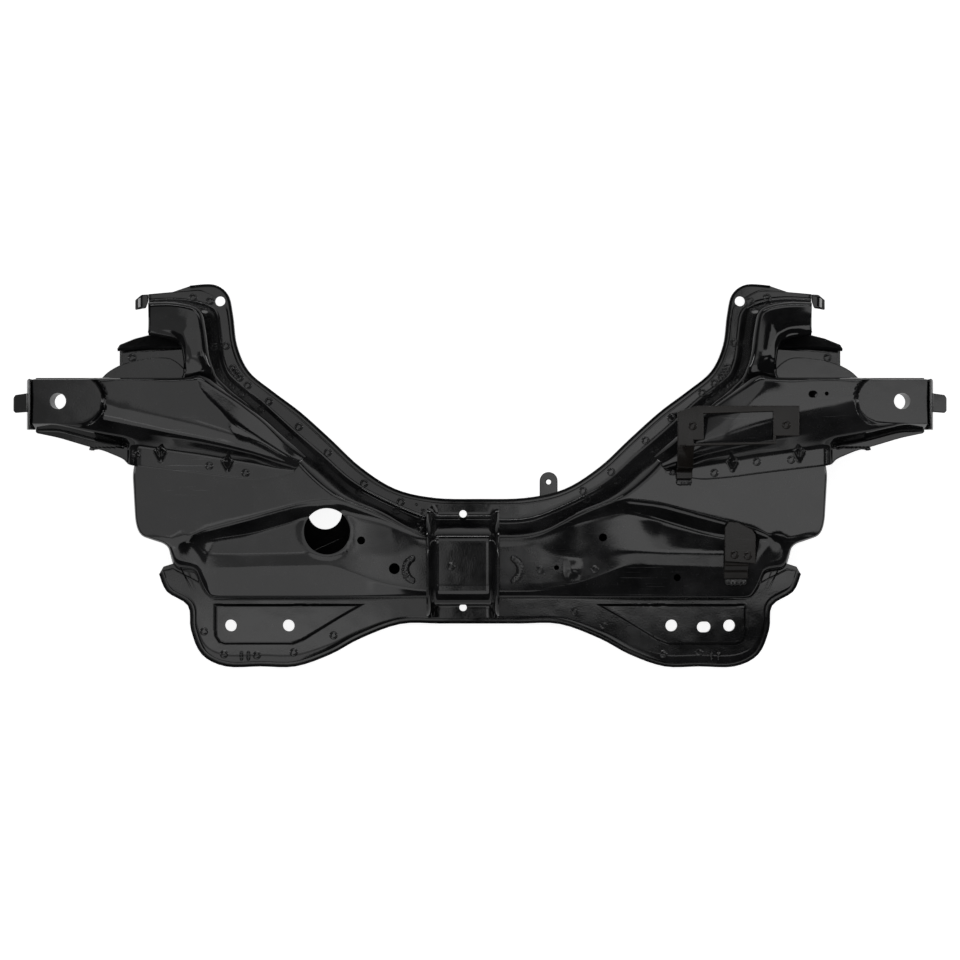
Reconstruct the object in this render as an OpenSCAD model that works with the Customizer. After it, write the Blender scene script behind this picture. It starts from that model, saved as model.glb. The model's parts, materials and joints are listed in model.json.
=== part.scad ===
// Front suspension crossmember of pressed and spot-welded sheet, lying on its back panel.
// +X runs across the vehicle, +Y towards the tower tops, +Z out of the front face.

/* [Bolt spacing] */
// Distance between the two body bolts at the arm ends
bolt_span = 834; // [810:2:860]
// Height of the body bolts above the origin in plan
bolt_y = 73; // [70:1:76]
// Distance between the two holes in the tower tops
horn_span = 522; // [512:2:532]
// Height of the tower holes above the origin in plan
horn_y = 174.5; // [173:0.5:176]
// Distance from the centre line to the middle of each seat's pair of holes
seat_x = 221; // [215:1:227]
// Distance between the two holes of a seat
seat_pitch = 58; // [50:1:64]
// Depth of the seat holes below the origin in plan
seat_y = 151; // [149:1:154]
// Distance between the two holes of the saddle bracket
saddle_pitch = 94; // [92:1:96]

/* [Sheet] */
// Thickness of the panels and hoods
sheet_t = 2.6; // [2:0.1:3]
// Thickness of the brackets
bracket_t = 3; // [2:0.5:4]
// Thickness of the seat plates
seat_t = 4; // [3:0.5:6]
// Clearance between pieces that lie on each other
seam = 0.2; // [0.1:0.05:0.3]

/* [Levels] */
// Height of the joint between the two panels above the floor
pan_depth = 30; // [24:1:40]
// Rise of the flat part of the face above the joint
face_rise = 45; // [40:1:55]
// Rise of the tower crest above the flat part of the face
tower_rise = 16; // [12:1:18]
// Rise of the hood's top above the flat part of the face
hood_rise = 23; // [21:1:28]
// Drop from the hood's top to the bolt pad
pad_drop = 14; // [10:1:16]
// Depth of the arm from the hood's top to its closing plate
arm_depth = 50; // [46:1:54]
// Height of the back panel's lip above the joint
lip_rise = 6; // [4:0.5:9]
// Width of the gap between the front flange and the lip
lip_gap = 2; // [1:0.5:3]

/* [Holes] */
// Body bolt hole
body_bolt_d = 16; // [12:0.5:18]
// Outside of the sleeve round the body bolt
sleeve_d = 27; // [24:1:32]
// Tower hole
horn_bolt_d = 10; // [8:0.5:12]
// Seat hole
seat_bolt_d = 12; // [10:0.5:14]
// Saddle hole
saddle_bolt_d = 7.5; // [6:0.5:8]
// Large access hole in the left of the face
access_d = 46; // [36:1:50]
// Hole in the back panel behind the access hole
access_back_d = 34; // [24:1:40]

/* [Hidden] */
$fn = 48;
steel = [0.16, 0.16, 0.17];
steel_warm = [0.19, 0.17, 0.16];
weld = [0.24, 0.23, 0.22];
hx = horn_span / 2;
bx = bolt_span / 2;
arm_end = bx + 27;
joint_z = pan_depth;
flange_z = joint_z + sheet_t;
face_z = joint_z + face_rise;
crest_z = face_z + tower_rise;
hood_z = face_z + hood_rise;
pad_z = hood_z - pad_drop;
close_z = hood_z - arm_depth;
on_face = face_z + seam + sheet_t;
on_plate = close_z + seam + sheet_t;
half_steps = 36;
stations = 18;
fold_y = -122;
inside = 1.4;

// Point on a curve through four neighbours, at fraction t of the middle span
function span(a, b, c, d, t) =
    (2 * b + (c - a) * t + (2 * a - 5 * b + 4 * c - d) * t * t
    + (3 * b - a - 3 * c + d) * t * t * t) / 2;
// Point at fraction u of the smooth curve through p
function curve_at(p, u) =
    let (n = len(p) - 1, i = min(floor(u * n), n - 1))
    span(p[max(i - 1, 0)], p[i], p[i + 1], p[min(i + 2, n)], u * n - i);
function curve(p, steps) = [for (k = [0:steps]) curve_at(p, k / steps)];
// Point at station u of a creased rail, given as keys of station, x, y and z
function rail_at(keys, u) = [for (k = [1:3]) lookup(u, [for (q = keys) [q[0], q[k]]])];
function flat_at(keys, u) = [for (k = [1:2]) lookup(u, [for (q = keys) [q[0], q[k]]])];
// A half path that starts on the centre line, carried across to the other side
function both(p) = concat([for (i = [len(p) - 1:-1:1]) [-p[i].x, p[i].y]], p);
// A half outline from and back to the centre line, closed across the other side
function both_outline(p) = concat(p, [for (i = [len(p) - 2:-1:1]) [-p[i].x, p[i].y]]);
function reversed(p) = [for (i = [len(p) - 1:-1:0]) p[i]];
function unit(v) = v / norm(v);
// The path moved sideways by w, to its left when w is positive
function beside(p, w) =
    [for (i = [0:len(p) - 1])
        let (t = unit(p[min(i + 1, len(p) - 1)] - p[max(i - 1, 0)]))
        p[i] + w * [-t.y, t.x]];

// Direction in which a grid point moves so that both strips beside it gain unit thickness
function mitre(g, i, j) =
    let (c = len(g[0]),
        along = g[min(i + 1, len(g) - 1)][j] - g[max(i - 1, 0)][j],
        k = max(j, 1),
        m = min(j, c - 2),
        before = unit(cross(along, g[i][k] - g[i][k - 1])),
        after = unit(cross(along, g[i][m + 1] - g[i][m])))
    (before + after) / max(0.5, 1 + before * after);

// A pressed sheet: a grid of points, rows towards +X and columns towards -Y, thickened downwards
module pressed(g, t) {
    r = len(g);
    c = len(g[0]);
    m = r * c;
    under = [for (i = [0:r - 1]) [for (j = [0:c - 1]) g[i][j] + t * mitre(g, i, j)]];
    cells = [for (i = [0:r - 2], j = [0:c - 2])
        [i * c + j, (i + 1) * c + j, (i + 1) * c + j + 1, i * c + j + 1]];
    ends = [for (j = [0:c - 2]) each [[j, j + 1, m + j + 1, m + j],
        [(r - 1) * c + j + 1, (r - 1) * c + j, m + (r - 1) * c + j, m + (r - 1) * c + j + 1]]];
    sides = [for (i = [0:r - 2]) each [[(i + 1) * c, i * c, m + i * c, m + (i + 1) * c],
        [i * c + c - 1, (i + 1) * c + c - 1, m + (i + 1) * c + c - 1, m + i * c + c - 1]]];
    lower = [for (q = cells) [m + q[0], m + q[3], m + q[2], m + q[1]]];
    quads = concat(cells, lower, ends, sides);
    polyhedron([for (row = concat(g, under)) each row],
        [for (q = quads) each [[q[0], q[1], q[2]], [q[0], q[2], q[3]]]]);
}
module plate(outline, z, t) {
    translate([0, 0, z]) linear_extrude(t) polygon(outline);
}
module strip(outer, inner, z, t) {
    plate(concat(outer, reversed(inner)), z, t);
}
module hole(p, d) {
    translate([p.x, p.y, -1]) cylinder(h = hood_z + 60, d = d);
}
module slot(p, d, run) {
    for (x = [p.x - run / 2, p.x + run / 2])
        hole([x, p.y], d);
    translate([p.x - run / 2, p.y - d / 2, -1]) cube([run, d, hood_z + 60]);
}
module left_side() {
    mirror([1, 0, 0]) children();
}

// Outer edge of the rim, from the centre line round the U to the tower top
rim_edge = curve([[0, -24], [45, -23], [85, -14], [120, 8], [150, 36], [180, 63], [208, 84],
    [hx - 29, 104], [hx - 17, 130], [hx - 13, 160], [hx - 8, 181], [hx + 6, 191], [hx + 30, 190]], 60);
// Outer edge of the bottom flange, from the centre line to its wing
low_edge = curve([[0, -149], [40, -149], [80, -149.5], [seat_x - 101, -164], [seat_x - 71, -180],
    [seat_x - 36, -192], [seat_x - 1, -192], [seat_x + 34, -192], [seat_x + 58, -180], [seat_x + 69, -155],
    [seat_x + 72, -131], [bx - 103, -117], [bx - 95, -99]], 48);
// Foot of the rim wall and its top, at the panel's stations
wall_foot = [[0, -45], [50, -44.2], [98, -25], [130, -7], [158, 18], [184, 40], [206, 60], [219, 72],
    [228, 79], [235, 84], [hx - 20, 89], [hx - 14, 94], [hx - 9, 99], [hx - 5, 106], [hx - 1, 120],
    [hx + 2, 148], [hx + 8, 167], [hx + 39, 175], [hx + 73, 174]];
wall_top = [[0, -61], [55, -59.5], [99, -37], [137, -22], [166, 0], [190, 27], [212, 50], [225, 63],
    [233, 71], [241, 77], [hx - 13, 83], [hx - 7, 89], [hx - 1, 95], [hx + 3, 104], [hx + 8, 120],
    [hx + 12, 148], [hx + 18, 164], [hx + 42, 170], [hx + 68, 170]];
wall_top_z = [[0, face_z - 9], [1, face_z - 7], [2, face_z - 3], [3, face_z], [12, face_z],
    [13, crest_z - 4], [14, crest_z - 1], [16, crest_z - 1], [17, crest_z - 2], [18, crest_z - 5]];
// Upper ridge: the lower edge of the flat face, then the tower's crease
ridge_one = [[0, 0, -64, face_z - 8], [1, 55, -62, face_z - 6.5], [2, 99, -41, face_z - 2.5],
    [3, 142, -26, face_z], [4, 176, -30, face_z], [6, bx - 147, -55, face_z], [8, bx - 130, -61, face_z],
    [10, bx - 117, -52, face_z], [11, bx - 92, -40, face_z], [12, hx + 39, 55, face_z],
    [12.5, hx + 25, 78.5, face_z], [13, hx + 11, 102, crest_z - 3], [14, hx + 19, 119, crest_z],
    [15, hx + 23, 140, crest_z], [16, hx + 26, 150, crest_z], [17, hx + 43, 155, crest_z - 1],
    [18, hx + 68, 158, crest_z - 3]];
// Foot of the step under the upper ridge
step_foot = [[0, 0, -66.5, face_z - 8.5], [1, 55, -65, face_z - 7], [2, 98, -45, face_z - 4.5],
    [3, 143, -35, face_z - 6.5], [4, 177, -44, face_z - 10.5], [5, 223, -58, face_z - 11],
    [6, bx - 148, -64.5, face_z - 7.5], [8, bx - 129, -64, face_z - 1], [10, bx - 113, -60, face_z],
    [11, bx - 85, -48, face_z], [12, bx - 95, 38, face_z], [12.5, hx + 39.5, 70, face_z],
    [13, hx + 18, 101.5, crest_z - 3], [14, hx + 23, 117, crest_z], [15, hx + 27, 134, crest_z],
    [16, hx + 30, 144, crest_z], [17, hx + 43.5, 149, crest_z - 1], [18, hx + 68, 152, crest_z - 3]];
// Lower ridge across the middle of the face
ridge_two = [[0, 0, -70, face_z - 7.5], [1, 52, -71, face_z - 6.8], [2, 92, -81, face_z - 7],
    [3, 148, -76, face_z - 6.8], [5, 226, -76, face_z - 8.4], [6, bx - 146, -78, face_z - 7],
    [8, bx - 128, -67, face_z - 2.5], [9, bx - 117, -72, face_z - 2], [10, bx - 111, -63, face_z],
    [11, bx - 81, -53, face_z], [12, bx - 83, 26, face_z],
    [12.5, hx + 48, 63.5, face_z], [13, hx + 23, 101, crest_z - 3],
    [14, hx + 26, 116, crest_z - 0.5], [15, hx + 29, 131, crest_z], [16, hx + 32.5, 139, crest_z],
    [17, hx + 44, 144, crest_z - 1], [18, hx + 68, 147, crest_z - 3]];
// Crease from which the lower face falls away to the bottom fold
valley = [[0, 0, -115, face_z - 7.8], [1, 60, -115, face_z - 7.3], [2, 98, -108, face_z - 7.5],
    [3, 146, -90, face_z - 7.5], [5, 224, -91, face_z - 8], [6, bx - 147, -94, face_z - 8],
    [7, bx - 141, -94, face_z - 8.5], [8, bx - 133, -88, face_z - 8], [9, bx - 115, -84, face_z - 6],
    [10, bx - 109, -66, face_z - 0.5], [11, bx - 79, -56, face_z], [12, bx - 76, 19, face_z],
    [12.5, hx + 53.5, 60, face_z], [13, hx + 27, 100.5, crest_z - 3],
    [14, hx + 28.5, 114.5, crest_z - 0.5],
    [15, hx + 30.5, 128, crest_z - 0.5], [16, hx + 34.5, 135, crest_z - 1],
    [17, hx + 44.5, 140, crest_z - 2], [18, hx + 68, 143, crest_z - 3]];
// Free edge of the panel: the bottom fold, the end of the hat, the side and the tower window
free_edge = [[0, 0, fold_y, face_z - 12], [1, 55, fold_y, face_z - 12], [2, 98, fold_y, face_z - 12.5],
    [3, 146, fold_y, face_z - 13], [4, 180, fold_y, face_z - 13], [5, 225, fold_y, face_z - 13],
    [6, bx - 149, fold_y, face_z - 13], [7, bx - 142, -112, face_z - 13], [8, bx - 134, -94, face_z - 12.5],
    [9, bx - 114, -91, face_z - 11], [10, bx - 108, -68, face_z - 1], [11, bx - 77, -58, face_z],
    [12, bx - 73, 14, face_z], [12.5, hx + 56, 57, face_z],
    [13, hx + 29, 100, crest_z - 3], [14, hx + 30, 113, crest_z - 1], [15, hx + 32, 126, crest_z - 1],
    [16, hx + 36, 132, crest_z - 2], [17, hx + 45, 136, crest_z - 2], [18, hx + 68, 140, crest_z - 4]];
// Depth of the turned edge below the free edge
fold_depth = face_z - 12 - joint_z - inside;
edge_depth = [[0, fold_depth], [1, fold_depth], [2, fold_depth - 0.5], [3, fold_depth - 1],
    [7, fold_depth - 1], [8, fold_depth - 0.5], [9, fold_depth + 1], [10, 12], [12, 10], [13, 4], [18, 5]];
edge_lean = 2;

function panel_half(u) =
    let (foot = curve_at(wall_foot, u / stations),
        top = curve_at(wall_top, u / stations),
        edge = rail_at(free_edge, u),
        ahead = rail_at(free_edge, min(u + 0.5, stations)) - rail_at(free_edge, max(u - 0.5, 0)),
        out = unit([ahead.y, -ahead.x]))
    [[foot.x, foot.y, joint_z + inside], [top.x, top.y, lookup(u, wall_top_z)], rail_at(ridge_one, u),
        rail_at(step_foot, u), rail_at(ridge_two, u), rail_at(valley, u), edge,
        [edge.x + edge_lean * out.x, edge.y + edge_lean * out.y, edge.z - lookup(u, edge_depth)]];
function panel_row(k) =
    let (row = panel_half(abs(k) * stations / half_steps))
    [for (p = row) [k < 0 ? -p.x : p.x, p.y, p.z]];

rim_inner = beside(curve(wall_foot, 54), -inside);
rim_outer = concat(beside(rim_edge, -lip_gap - sheet_t),
    [[hx + 79, 181], [hx + 86, 176], [hx + 86, 166], [hx + 74, 167]]);
hat_end = [[0, fold_y + inside], [bx - 148, fold_y + inside], [bx - 140, -112], [bx - 132, -94.5],
    [bx - 113, -92.5], [bx - 97, -96]];
low_outer = beside(low_edge, lip_gap + sheet_t);
horn_hole = [hx, horn_y];
seat_holes = [for (k = [-1, 1]) [seat_x + k * seat_pitch / 2, -seat_y]];
saddle_mid = [-17, -86];
saddle_holes = [for (k = [-1, 1]) saddle_mid + [0, k * saddle_pitch / 2]];
access_hole = [-152, -56];
access_back = [-157, -38];
face_holes = [[-118, -65, 8], [-85, -93, 11], [122, -62, 8], [76, -92, 5], [196, -102, 7]];

// Slot between the right seat's holes, and the drain slots in the bottom flanges
seat_slot = [seat_x + 3.5, -seat_y - 1.5];
seat_slot_d = 11;
seat_slot_run = 3;
drain = [seat_x + 15, -seat_y - 28.5];
drain_d = 4;
drain_run = 8;

module bolt_holes() {
    for (k = [-1, 1]) {
        hole([k * horn_hole.x, horn_hole.y], horn_bolt_d);
        slot([k * drain.x, drain.y], drain_d, drain_run);
        for (p = seat_holes)
            hole([k * p.x, p.y], seat_bolt_d);
    }
    slot(seat_slot, seat_slot_d, seat_slot_run);
    for (p = saddle_holes)
        hole(p, saddle_bolt_d);
}
module front_panel() color(steel) difference() {
    union() {
        pressed([for (k = [-half_steps:half_steps]) panel_row(k)], sheet_t);
        strip(both(rim_outer), both(rim_inner), joint_z, sheet_t);
        strip(both(low_outer), both(hat_end), joint_z, sheet_t);
    }
    bolt_holes();
    translate([0, 0, joint_z + sheet_t]) {
        translate(access_hole) cylinder(h = face_rise, d = access_d);
        for (p = face_holes) translate([p[0], p[1]]) cylinder(h = face_rise, d = p[2]);
    }
}

// Back panel: a flat flange of the same outline with a shallow pan pressed into it
pan_rim = [[0, 0, -52], [1, 60, -47], [2, 110, -27], [3, 165, 14], [4, 215, 56], [5, hx - 23, 70]];
pan_floor_top = [[0, 0, -66], [1, 60, -61], [2, 116, -41], [3, 170, -4], [4, 212, 34], [5, hx - 16, 40]];
pan_floor_low = [[0, 0, -103], [3, 165, -103], [4, 212, -103], [5, bx - 162, -66]];
pan_low = [[0, 0, -116], [4, 220, -116], [5, bx - 155, -106]];
pan_floor_z = [[0, sheet_t], [4, sheet_t], [5, joint_z - inside]];
pan_steps = 15;
function pan_row(k) =
    let (u = abs(k) * 5 / pan_steps,
        w = k < 0 ? -1 : 1,
        rows = [for (r = [pan_rim, pan_floor_top, pan_floor_low, pan_low]) flat_at(r, u)],
        z = [joint_z - inside, lookup(u, pan_floor_z), lookup(u, pan_floor_z), joint_z - inside])
    [for (i = [0:3]) [w * rows[i].x, rows[i].y, z[i]]];
function pan_path(keys) = both([for (k = [0:pan_steps]) flat_at(keys, k * 5 / pan_steps)]);
back_side = [[hx + 68, 177], [hx + 70, 141], [hx + 86, 137], [hx + 101, 129], [hx + 101, 104],
    [bx - 82, 90], [bx - 82, 20], [bx - 87, -55], [bx - 117, -66], [bx - 121, -85], [bx - 99, -92]];

// Outer wall of the pivot pocket, from the flange up to the pivot plate
pocket_low = [[hx + 36, 141], [hx + 70, 141], [hx + 86, 137], [hx + 101, 131]];
pocket_high = [[hx + 36, 128.8], [hx + 70, 128.5], [hx + 86, 127.5], [hx + 101, 126]];
module pocket_wall() {
    pressed([for (i = [0:3]) [concat(pocket_low[i], joint_z - inside),
        concat(pocket_high[i], close_z + bracket_t)]], sheet_t);
}
module lip(edge, side) {
    strip(both(edge), both(beside(edge, side * sheet_t)), joint_z - sheet_t, sheet_t + lip_rise);
}
module back_panel() color(steel) difference() {
    union() {
        difference() {
            plate(both_outline(concat(rim_edge, back_side, reversed(low_edge))),
                joint_z - sheet_t, sheet_t);
            strip(beside(pan_path(pan_rim), -inside), beside(pan_path(pan_low), inside),
                joint_z - 2 * sheet_t, 3 * sheet_t);
        }
        pressed([for (k = [-pan_steps:pan_steps]) pan_row(k)], sheet_t);
        pocket_wall();
        left_side() pocket_wall();
        lip(rim_edge, -1);
        lip(low_edge, 1);
    }
    bolt_holes();
    hole(access_back, access_back_d);
}
front_panel();
back_panel();

// Arm hood: rails from the tail on the face to the arm's end, at stations 0 to 11
arm_stations = 11;
back_y = bolt_y + 23;
drop_x = bx - 69;
sunk_x = bx - 63;
ramp_x = bx - 44;
crest_z_at = [[0, on_face + 4], [1, on_face + 10], [2, hood_z - 5], [3, hood_z - 1], [4, hood_z],
    [8, hood_z], [9, pad_z], [11, pad_z]];
hood_edge = [[0, 171, 17], [1, 190, 34], [2, 215, 58], [3, 240, 77], [4, hx + 13, back_y + 3],
    [5, hx + 30, back_y], [6, drop_x, back_y], [7, sunk_x, back_y], [8, ramp_x, back_y],
    [9, bx - 20, back_y], [10, bx + 3, back_y], [11, arm_end, back_y]];
hood_edge_z = [[0, on_face], [3, on_face], [4, hood_z - 4], [5, hood_z - 10], [8, hood_z - 10],
    [9, close_z + seam], [11, close_z + seam]];
hood_back = [[0, 173, 15.5], [1, 191.5, 32], [2, 216.5, 56], [3, 241, 74.5], [4, hx + 14, back_y],
    [5, hx + 30, back_y - 2], [6, drop_x, back_y - 2], [8, ramp_x, back_y - 2], [9, bx - 20, back_y - 2],
    [11, arm_end, back_y - 2]];
hood_back_z = [[0, on_face + 2], [1, on_face + 7], [2, hood_z - 8], [3, hood_z - 3], [4, hood_z - 1],
    [5, hood_z], [8, hood_z], [9, pad_z], [11, pad_z]];
hood_crease = [[0, 177, 11], [1, 192, 20], [2, 215, 34], [3, 246, 54], [4, hx + 15, bolt_y + 11],
    [5, hx + 39, bolt_y + 13], [8, ramp_x, bolt_y + 13], [9, bx - 30, bolt_y + 12],
    [11, arm_end, bolt_y + 12]];
hood_ridge = [[0, 178.5, 8.5], [1, 197, 14], [2, 222, 26], [3, 246, 34], [4, hx + 15, 42.5],
    [5, hx + 39, 48.5], [6, drop_x, 60], [7, sunk_x, 61.5], [8, ramp_x, bolt_y - 1],
    [9, bx - 38, bolt_y - 1], [11, arm_end, bolt_y]];
hood_groove = [[0, 180, 7], [1, 198, 11.5], [2, 222, 20.5], [3, 246, 26.5], [4, hx + 15, 34],
    [5, hx + 39, 39], [6, drop_x, 50], [7, sunk_x, 51.5], [8, ramp_x, bolt_y - 17],
    [9, bx - 37, bolt_y - 13], [10, bx + 3, bolt_y - 19], [11, arm_end, bolt_y - 19]];
hood_groove_z = [[0, on_face + 3], [1, on_face + 6], [2, on_face + 9], [3, on_face + 11],
    [4, on_face + 12], [8, on_face + 12], [9, pad_z], [11, pad_z]];
hood_shoulder = [[0, 181, 6], [1, 199, 9], [2, 222, 16.5], [3, 246, 21], [4, hx + 15, 26],
    [5, hx + 39, 29], [6, drop_x, 36.5], [7, sunk_x, 37.5], [8, ramp_x, bolt_y - 32],
    [9, bx - 27, bolt_y - 29], [10, bx + 3, bolt_y - 22.5], [11, arm_end, bolt_y - 23]];
hood_shoulder_z = [[0, on_face + 2], [2, on_face + 5], [3, on_face + 6], [8, on_face + 6], [11, pad_z - 2]];
hood_foot = [[0, 182, 4.5], [1, 200, 6.5], [2, 222, 10.5], [3, 246, 14.5], [4, hx + 15, 19.5],
    [5, hx + 39, 23], [6, drop_x, 29.5], [7, sunk_x, 30], [8, ramp_x, bolt_y - 40],
    [9, bx - 27, bolt_y - 36], [10, bx + 3, bolt_y - 28], [11, arm_end, bolt_y - 28]];
hood_flange = [[0, 183, 2.5], [1, 196, -1], [2, 220, -5], [3, 246, -3], [4, hx + 15, 1],
    [5, hx + 39, 4], [6, drop_x, 9.5], [7, sunk_x, 16], [8, ramp_x, bolt_y - 49],
    [9, bx - 27, bolt_y - 45], [10, bx + 3, bolt_y - 36], [11, arm_end, bolt_y - 31]];
hood_foot_z = [[0, on_face], [6, on_face], [7, on_plate], [11, on_plate]];
function lifted(keys, t, z) =
    let (p = flat_at(keys, t))
    [p.x, p.y, z];
function hood_row(t) =
    [lifted(hood_edge, t, lookup(t, hood_edge_z)),
        lifted(hood_back, t, lookup(t, hood_back_z)),
        lifted(hood_crease, t, lookup(t, crest_z_at)),
        lifted(hood_ridge, t, lookup(t, crest_z_at)),
        lifted(hood_groove, t, lookup(t, hood_groove_z)),
        lifted(hood_shoulder, t, lookup(t, hood_shoulder_z)),
        lifted(hood_foot, t, lookup(t, hood_foot_z)),
        lifted(hood_flange, t, lookup(t, hood_foot_z))];
body_bolt = [bx, bolt_y];
// Openings that only the right hood has: a short slot and a small hole
hood_slot = [bx - 89.5, bolt_y + 6.5];
hood_slot_d = 7;
hood_slot_run = 2;
hood_pin = [bx - 76, bolt_y + 7];
hood_pin_d = 4;

module arm() difference() {
    pressed([for (t = [0:arm_stations]) hood_row(t)], sheet_t);
    hole(body_bolt, body_bolt_d);
}
module right_arm() difference() {
    arm();
    slot(hood_slot, hood_slot_d, hood_slot_run);
    hole(hood_pin, hood_pin_d);
}
module arm_closing_plate() difference() {
    plate([[arm_end, back_y + 1], [hx + 45, back_y + 1], [hx + 45, bolt_y - 40], [sunk_x, 17],
        [ramp_x, bolt_y - 48.5], [bx + 3, bolt_y - 35.5], [arm_end, bolt_y - 30.5]],
        close_z - sheet_t, sheet_t);
    hole(body_bolt, body_bolt_d);
}
module end_cap() {
    top = pad_z + 1;
    low = close_z - sheet_t;
    x = arm_end + seam;
    translate([0, back_y - 1, 0]) rotate([90, 0, 0]) linear_extrude(50)
        polygon([[x, low], [x, top], [x + bracket_t - 1, top], [x + 8, low + 6], [x + 8, low]]);
    plate([[x + 6, bolt_y - 10], [x + 6, bolt_y + 9], [x + 20, bolt_y + 7], [x + 22, bolt_y + 4],
        [x + 22, bolt_y - 9], [x + 20, bolt_y - 11]], low, bracket_t);
}
module bolt_sleeve() translate([bx, bolt_y, close_z]) difference() {
    cylinder(h = pad_z - sheet_t - seam - close_z, d = sleeve_d);
    translate([0, 0, -1]) cylinder(h = arm_depth, d = body_bolt_d);
}
module pivot_plate() {
    plate([[hx + 97, 122], [hx + 34, 126], [hx + 34, back_y - 20], [hx + 94, back_y - 20]],
        close_z + seam, bracket_t);
}
module pivot_stiffener() {
    z = close_z + 2 * seam + bracket_t;
    inner = hx + 34;
    outer = bx - 40;
    share = (outer - inner) / 82;
    edge = curve([[inner, 106], [inner + 8 * share, 113], [inner + 18 * share, 117],
        [inner + 38 * share, 116], [inner + 60 * share, 111], [inner + 74 * share, 104],
        [outer, back_y + 1]], 18);
    plate(concat(edge, [[outer - 16 * share, back_y - 12], [inner, back_y - 12]]), z, bracket_t);
}
module seat_plate() difference() {
    plate([[seat_x - 117, fold_y - 4], [seat_x - 81, -147], [seat_x - 43, -170], [seat_x - 33, -173.5],
        [seat_x + 37, -173.5], [seat_x + 46, -168], [seat_x + 49, -156], [seat_x + 49, fold_y - 4]],
        flange_z, seat_t);
    for (p = seat_holes)
        hole(p, seat_bolt_d);
}
module right_seat_plate() difference() {
    seat_plate();
    slot(seat_slot, seat_slot_d, seat_slot_run);
}

// Saddle bracket: a strap over the beam between two upright side walls
saddle_lean = 0.457;
bead_r = 2.4;
bead_turn_r = 12;
bead_sweep = 160;
bead_off = 45;
bead_y = -94;
clip_bead_drop = 9.5;
left_bead_drop = 6.5;
right_bead_drop = 6.7;
saddle_web_z = face_z - 1;
saddle_x = [saddle_mid.x - 36, saddle_mid.x + 36];
function strap_y(z) = -45 - (z - joint_z - inside) * saddle_lean + bracket_t + 2.2;
module saddle_bracket() color(steel) difference() {
    union() {
        foot = flange_z + seam + bracket_t;
        low_top = fold_y - 4.4;
        profile = [[-29.5, foot], [strap_y(foot), foot], [strap_y(saddle_web_z), saddle_web_z],
            [fold_y + 6, saddle_web_z - 2], [low_top - bracket_t, saddle_web_z - 12],
            [low_top - bracket_t, foot], [-143, foot]];
        translate([saddle_x[0], 0, 0]) rotate([90, 0, 90])
            linear_extrude(saddle_x[1] - saddle_x[0])
                polygon(concat(profile, reversed(beside(profile, bracket_t))));
        for (x = [saddle_x[0], saddle_x[1] - bracket_t])
            translate([x, 0, 0]) rotate([90, 0, 90]) linear_extrude(bracket_t)
                polygon([[strap_y(foot), foot - 1], [strap_y(saddle_web_z), saddle_web_z - 1],
                    [fold_y + 6, saddle_web_z - 3], [low_top - 1, saddle_web_z - 13],
                    [low_top - 1, foot - 1], [-142, foot - 1], [-142, foot + 6], [-128, saddle_web_z + 8],
                    [-112, saddle_web_z + 16], [-70, saddle_web_z + 16],
                    [-54, saddle_web_z + 4], [-42, foot + 14], [-36, foot - 1]]);
    }
    for (p = saddle_holes)
        hole(p, saddle_bolt_d);
}
// Weld bead section: the upper half of a circle
module bead_section() intersection() {
    circle(r = bead_r);
    translate([-bead_r, 0]) square(2 * bead_r);
}
// A C-shaped bead lying on the face, open towards the saddle
module turned_bead(x, z, from) {
    translate([x, bead_y, z]) rotate([0, 0, from])
        rotate_extrude(angle = bead_sweep) translate([bead_turn_r, 0]) bead_section();
}
module saddle_weld_beads() color(weld) {
    turned_bead(saddle_mid.x - bead_off, face_z - left_bead_drop, 100);
    turned_bead(saddle_mid.x + bead_off, face_z - right_bead_drop, -80);
}

// A bent strap of even thickness: a path in the YZ plane, thickened downwards and drawn along X
module strap(path, x, w) {
    translate([x, 0, 0]) rotate([90, 0, 90]) linear_extrude(w)
        polygon(concat(path, reversed(beside(path, -bracket_t))));
}

// Stay bracket: two pads between an upper rail and a lower lip, and a leg down to a foot on the hood
stay_z = hood_z + seam;
stay_left = hx - 67;
stay_right = hx + 27;
stay_pad_w = 26;
stay_lip = 3;
stay_foot_w = 16;
stay_foot_y = -4;
stay_foot_z = on_face + seam;
module stay_bracket() color(steel_warm) {
    top = stay_z + bracket_t;
    plate([[stay_left, 34], [stay_left + stay_pad_w, 34], [stay_left + stay_pad_w, 60], [stay_right, 62],
        [stay_right, 30], [stay_right + stay_lip, 30], [stay_right + stay_lip, 38],
        [stay_right + stay_pad_w, 38], [stay_right + stay_pad_w, 68], [stay_left + 20, 68], [stay_left, 62]],
        stay_z, bracket_t);
    plate([[stay_left + 8, 28], [stay_right + stay_lip, 30], [stay_right + stay_lip, 30 + stay_lip],
        [stay_left + 8, 28 + stay_lip]], stay_z, bracket_t);
    strap([[stay_foot_y, stay_foot_z + bracket_t], [3, stay_foot_z + bracket_t], [7, hood_z - 2], [30, top],
        [36, top]], stay_left, stay_foot_w);
}
// Clip bracket: a plate on the right end of the face, with a foot turned down to the lower face
clip_x = bx - 175;
clip_w = 31;
clip_foot_w = 24;
clip_foot_y = -103;
module clip_bracket() color(steel_warm) {
    top = face_z + seam + bracket_t;
    foot = face_z - 5.2;
    plate([[clip_x, -86], [clip_x, -52], [clip_x + 4, -46], [clip_x + 14, -47], [clip_x + 28, -54],
        [clip_x + clip_w, -60], [clip_x + clip_w, -88]], face_z + seam, bracket_t);
    strap([[clip_foot_y, foot], [-96, foot], [-90, top - 0.5], [-84, top - 0.5]], clip_x, clip_foot_w);
}
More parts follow.
